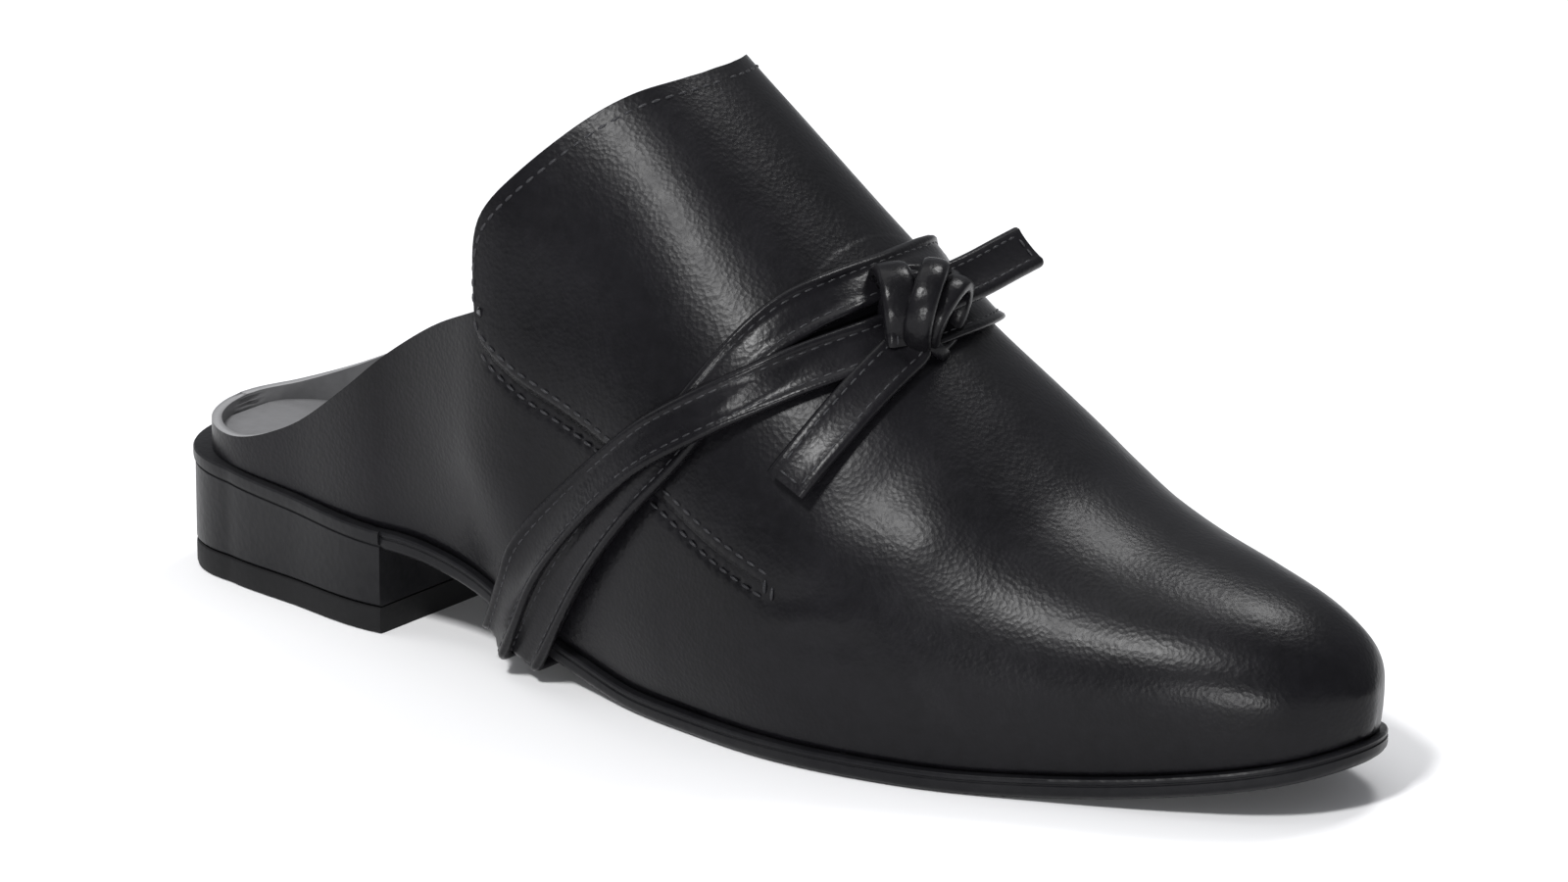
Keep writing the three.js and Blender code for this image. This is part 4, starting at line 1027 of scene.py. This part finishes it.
def near_end():
    """Middle line and outward directions of the lying end."""
    y, z = spline(NEAR_WAY, NEAR_STEPS).T
    seat = np.minimum(z, ridge_height(y) - 2.0)
    face = skin_normal(y, seat, OUTER)
    line = np.stack([half_at(y, seat, OUTER) + middle_at(y), y, z], -1) + face * NEAR_CLEAR
    # the lying end lifts a little off the leather towards its tip
    line = line + face * (NEAR_LIFT * smooth((np.arange(NEAR_STEPS) - 14) / 26.0))[:, None]
    # inside the knot the end makes one turn about the knot's across direction
    turn = np.radians(np.linspace(*NEAR_TURN, 26))
    ring = np.stack([np.linspace(1.6, -0.6, 26), NEAR_RADIUS * np.sin(turn),
                     NEAR_RADIUS * np.cos(turn) + HIDDEN_BACK], -1)
    inside = spline(np.vstack([ring @ KNOT_FRAME + KNOT_AT, line[:1]]), NEAR_HIDDEN + 1)[:-1]
    share = np.linspace(0, 1, NEAR_HIDDEN)
    angle = np.interp(share, [0, 0.84, 1], np.radians([*NEAR_TURN, 0]))
    inside_up = np.stack([0 * angle, np.sin(angle), np.cos(angle)], -1) @ KNOT_FRAME
    blend = smooth((share - 0.8) / 0.2)[:, None]
    inside_up = inside_up * (1 - blend) + face[:1] * blend
    return np.vstack([inside, line]), np.vstack([inside_up, face])


def far_end():
    """Middle line and outward directions of the standing end."""
    # inside the knot it turns about the knot's up direction
    turn = np.radians(np.linspace(*FAR_TURN, 20))
    ring = np.stack([FAR_RADIUS * np.sin(turn), np.linspace(0.0, 2.6, 20),
                     FAR_RADIUS * np.cos(turn) + HIDDEN_BACK], -1)
    line = spline(np.vstack([ring @ KNOT_FRAME + KNOT_AT, FAR_WAY]), FAR_STEPS)
    share = np.linspace(0, 1, FAR_STEPS)
    angle = np.interp(share, [0, 0.44, 1], np.radians([*FAR_TURN, 45]))
    blend = smooth((share - 0.36) / 0.24)[:, None]
    up = np.stack([np.sin(angle), 0 * angle, np.cos(angle)], -1) @ KNOT_FRAME * (1 - blend)
    return line, up + FAR_FACE * blend


def free_end(name, node, line, up):
    """A free end of the tie: a flat cord with folded edges, cut square."""
    scale = np.ones(len(line))
    scale[:END_TAPER] = np.linspace(END_NARROW, 1.0, END_TAPER)
    parts = Parts()
    parts.add(*sweep(line, up, flat_section(STRAP_WIDTH, STRAP_THICKNESS), scale=scale))
    piece = parts.piece(name, TIE, "tie_leather", [node], 60)
    float(reach_along(line)[-1]) * MM


near, far = near_end(), far_end()
free_end("tie_end_lying", "tie_end_near", *near)
free_end("tie_end_standing", "tie_end_far", *far)


# ---- stitches
# Half length and thickness of a stitch along itself, as shares of its length and radius
STITCH_PROFILE = [(-0.5, 0.0), (-0.46, 0.55), (-0.3, 0.95), (0.0, 1.1), (0.3, 0.95), (0.46, 0.55), (0.5, 0.0)]
BAND_STITCH = {"pitch": 2.5, "length": 1.8, "radius": 0.2, "sunk": 0.08}
TACK_STITCH = {"pitch": 2.9, "length": 2.6, "radius": 0.34, "skip_start": 0.1, "skip_end": 0.1}
TIP_STITCH = {"pitch": 2.2, "length": 1.7, "radius": 0.22, "sunk": 0.05, "skip_start": 0.3, "skip_end": 0.3}


def along_rows(points, distance):
    """Points at a distance from the first entry of each row of a grid, measured on the surface."""
    return np.array([read_line(row, reach_along(row), distance) for row in points])


def stitch_row(parts, line, normals, pitch=STITCH_PITCH, length=STITCH_LENGTH, radius=STITCH_RADIUS, sunk=0.1,
               skip_start=1.5, skip_end=1.5):
    """Stitches along a line, each a small bowed rod that dips into the leather at its ends."""
    reach = reach_along(line)
    count = int((reach[-1] - skip_start - skip_end) // pitch)
    ring = np.linspace(0, 2 * np.pi, 7)[:-1]
    for k in range(count):
        s = skip_start + pitch * (k + 0.5)
        at, ahead, behind = (read_line(line, reach, v) for v in (s, s + 0.4, s - 0.4))
        n = read_line(normals, reach, s)
        along = (ahead - behind) / np.linalg.norm(ahead - behind)
        n = n - along * n.dot(along)
        n /= np.linalg.norm(n)
        side = np.cross(along, n)
        points = []
        for share, wide in STITCH_PROFILE:
            bow = (0.25 - share * share) * radius * 1.6
            for a in ring:
                points.append(at + along * share * length + n * (bow - sunk + radius * wide * math.sin(a))
                              + side * radius * wide * math.cos(a))
        parts.add(points, grid_faces(len(STITCH_PROFILE), len(ring), wrap_columns=True))


def patch_places(side, high):
    """A patch's places and outward directions, without the lip's rounding and the puckers."""
    grid = high_patch(side) if high else low_patch(side)
    y, z = grid[..., 0], grid[..., 1]
    out = crease_depth(y, z, side) * calm_at(y, z)
    if high:
        out = out + proud_at(y)
    return skin_points(y, z, side, out), skin_normal(y, z, side)


def bar_tack(parts, place, normal):
    """Two long stitches across the seam's end."""
    for k in (0, 1):
        station = COLUMNS_COLLAR + COLUMNS_SEAM - 2 + k
        at, n = place[station, -1], normal[station, -2]
        up = at - place[station, -8]
        up /= np.linalg.norm(up)
        line = np.array([at + up * (reach - 0.6 * k) for reach in (-1.6, -0.5, 0.6, 1.7)]) + n * 0.1
        stitch_row(parts, line, np.repeat(n[None], 4, 0), **TACK_STITCH)


stitches = Parts()
EDGE_START, SEAM_START, BELOW_START = 2, 4, 6  # the rows begin this many grid steps from the corner
for side in (OUTER, INNER):
    place, normal = patch_places(side, True)
    edge_row = along_rows(place.transpose(1, 0, 2), EDGE_ROW)[EDGE_START:]
    stitch_row(stitches, edge_row, normal[8, EDGE_START:], skip_start=1.0, skip_end=0.6)
    above = slice(SEAM_START, COLUMNS_SEAM + 2)
    stitch_row(stitches, along_rows(place[above], SEAM_ROW), normal[above, 3])
    place, normal = patch_places(side, False)
    below = slice(COLUMNS_COLLAR + BELOW_START, COLUMNS_COLLAR + COLUMNS_SEAM)
    stitch_row(stitches, along_rows(place[below, ::-1], SEAM_ROW), normal[below, -3])
    bar_tack(stitches, place, normal)

for grid in turn_grids:
    middle = grid.mean(axis=(0, 1))
    for row in (7, 11):
        line, across = (np.vstack([ring, ring[:1]]) for ring in (grid[row], grid[row + 1] - grid[row - 1]))
        n = np.cross(np.gradient(line, axis=0), across)
        n *= np.sign((n * (line - middle)).sum(1))[:, None]
        stitch_row(stitches, line, unit(n), **BAND_STITCH)
stitches.piece("stitching", THREAD, "tie_leather")

end_stitches = Parts()
for line, up in (near, far):
    along, across, out = frames_along(line, up)
    visible = slice(int(len(line) * 0.5), None)
    for offset in (-0.6, 0.6):
        row = line + across * offset * STRAP_WIDTH / 2 + out * (STRAP_THICKNESS / 2)
        stitch_row(end_stitches, row[visible], out[visible], **BAND_STITCH, skip_end=1.2)
    tip = line[-1] - along[-1] * 1.6
    tip = tip + out[-1] * (STRAP_THICKNESS / 2 - 0.05)
    row = np.array([tip + across[-1] * w for w in (-2.7, -0.9, 0.9, 2.7)])
    stitch_row(end_stitches, row, np.repeat(out[-1:], 4, 0), **TIP_STITCH)
end_stitches.piece("end_stitching", THREAD, "tie_leather")


# ---- floor and light
FLOOR_RADIUS, FLOOR_CORNERS = 14.0, 48
WORLD_COLOR, WORLD_LIGHT = (0.93, 0.95, 1.0, 1), 0.3
LIGHT_AIM = Vector((0, 0, 0.05))
# Area lights: direction seen from the shoe, distance and size in metres, watts
LIGHTS = [
    ("overhead", (0.0, -0.35, 1.0), 2.2, 1.6, 12),
    ("window", (0.64, 0.08, 0.76), 1.6, 0.24, 23),
    ("vamp_side", (-0.49, -0.02, 0.87), 1.6, 0.42, 11),
    ("toe_spark", (0.86, 0.50, 0.07), 1.7, 0.12, 13),
    ("heel_side", (0.1, -1.0, 0.5), 1.7, 0.9, 2),
]


def pale_floor():
    material, tree, shader = new_material("pale_floor", (0.86, 0.86, 0.87), 0.6, 0.3)
    coords = tree.nodes.new("ShaderNodeTexCoord").outputs["Object"]
    cloud = noise(tree, coords, 3.0, 3.0).outputs["Fac"]
    tint = color_mix(tree, map_range(tree, cloud, 0.3, 0.7, 0, 1), (0.85, 0.85, 0.86), (0.89, 0.89, 0.895))
    tree.links.new(tint, shader.inputs["Base Color"])
    mesh = bpy.data.meshes.new("floor")
    turns = [2 * math.pi * k / FLOOR_CORNERS for k in range(FLOOR_CORNERS)]
    mesh.from_pydata([(FLOOR_RADIUS * math.cos(a), FLOOR_RADIUS * math.sin(a), 0) for a in turns], [],
                     [tuple(range(FLOOR_CORNERS))])
    mesh.materials.append(material)
    mesh.shade_smooth()
    new_object("floor", mesh)


def area_light(name, toward, distance, size, power):
    data = bpy.data.lights.new(name, "AREA")
    data.shape = "RECTANGLE"
    data.size = data.size_y = size
    data.energy = power
    light = new_object(name, data)
    direction = Vector(toward).normalized()
    light.location = LIGHT_AIM + direction * distance
    light.rotation_euler = (-direction).to_track_quat("-Z", "Y").to_euler()


pale_floor()
world = bpy.data.worlds.new("studio")
world.use_nodes = True
background = world.node_tree.nodes["Background"]
background.inputs["Color"].default_value = WORLD_COLOR
background.inputs["Strength"].default_value = WORLD_LIGHT
bpy.context.scene.world = world
bpy.context.scene.view_settings.view_transform = "Standard"
for light in LIGHTS:
    area_light(*light)
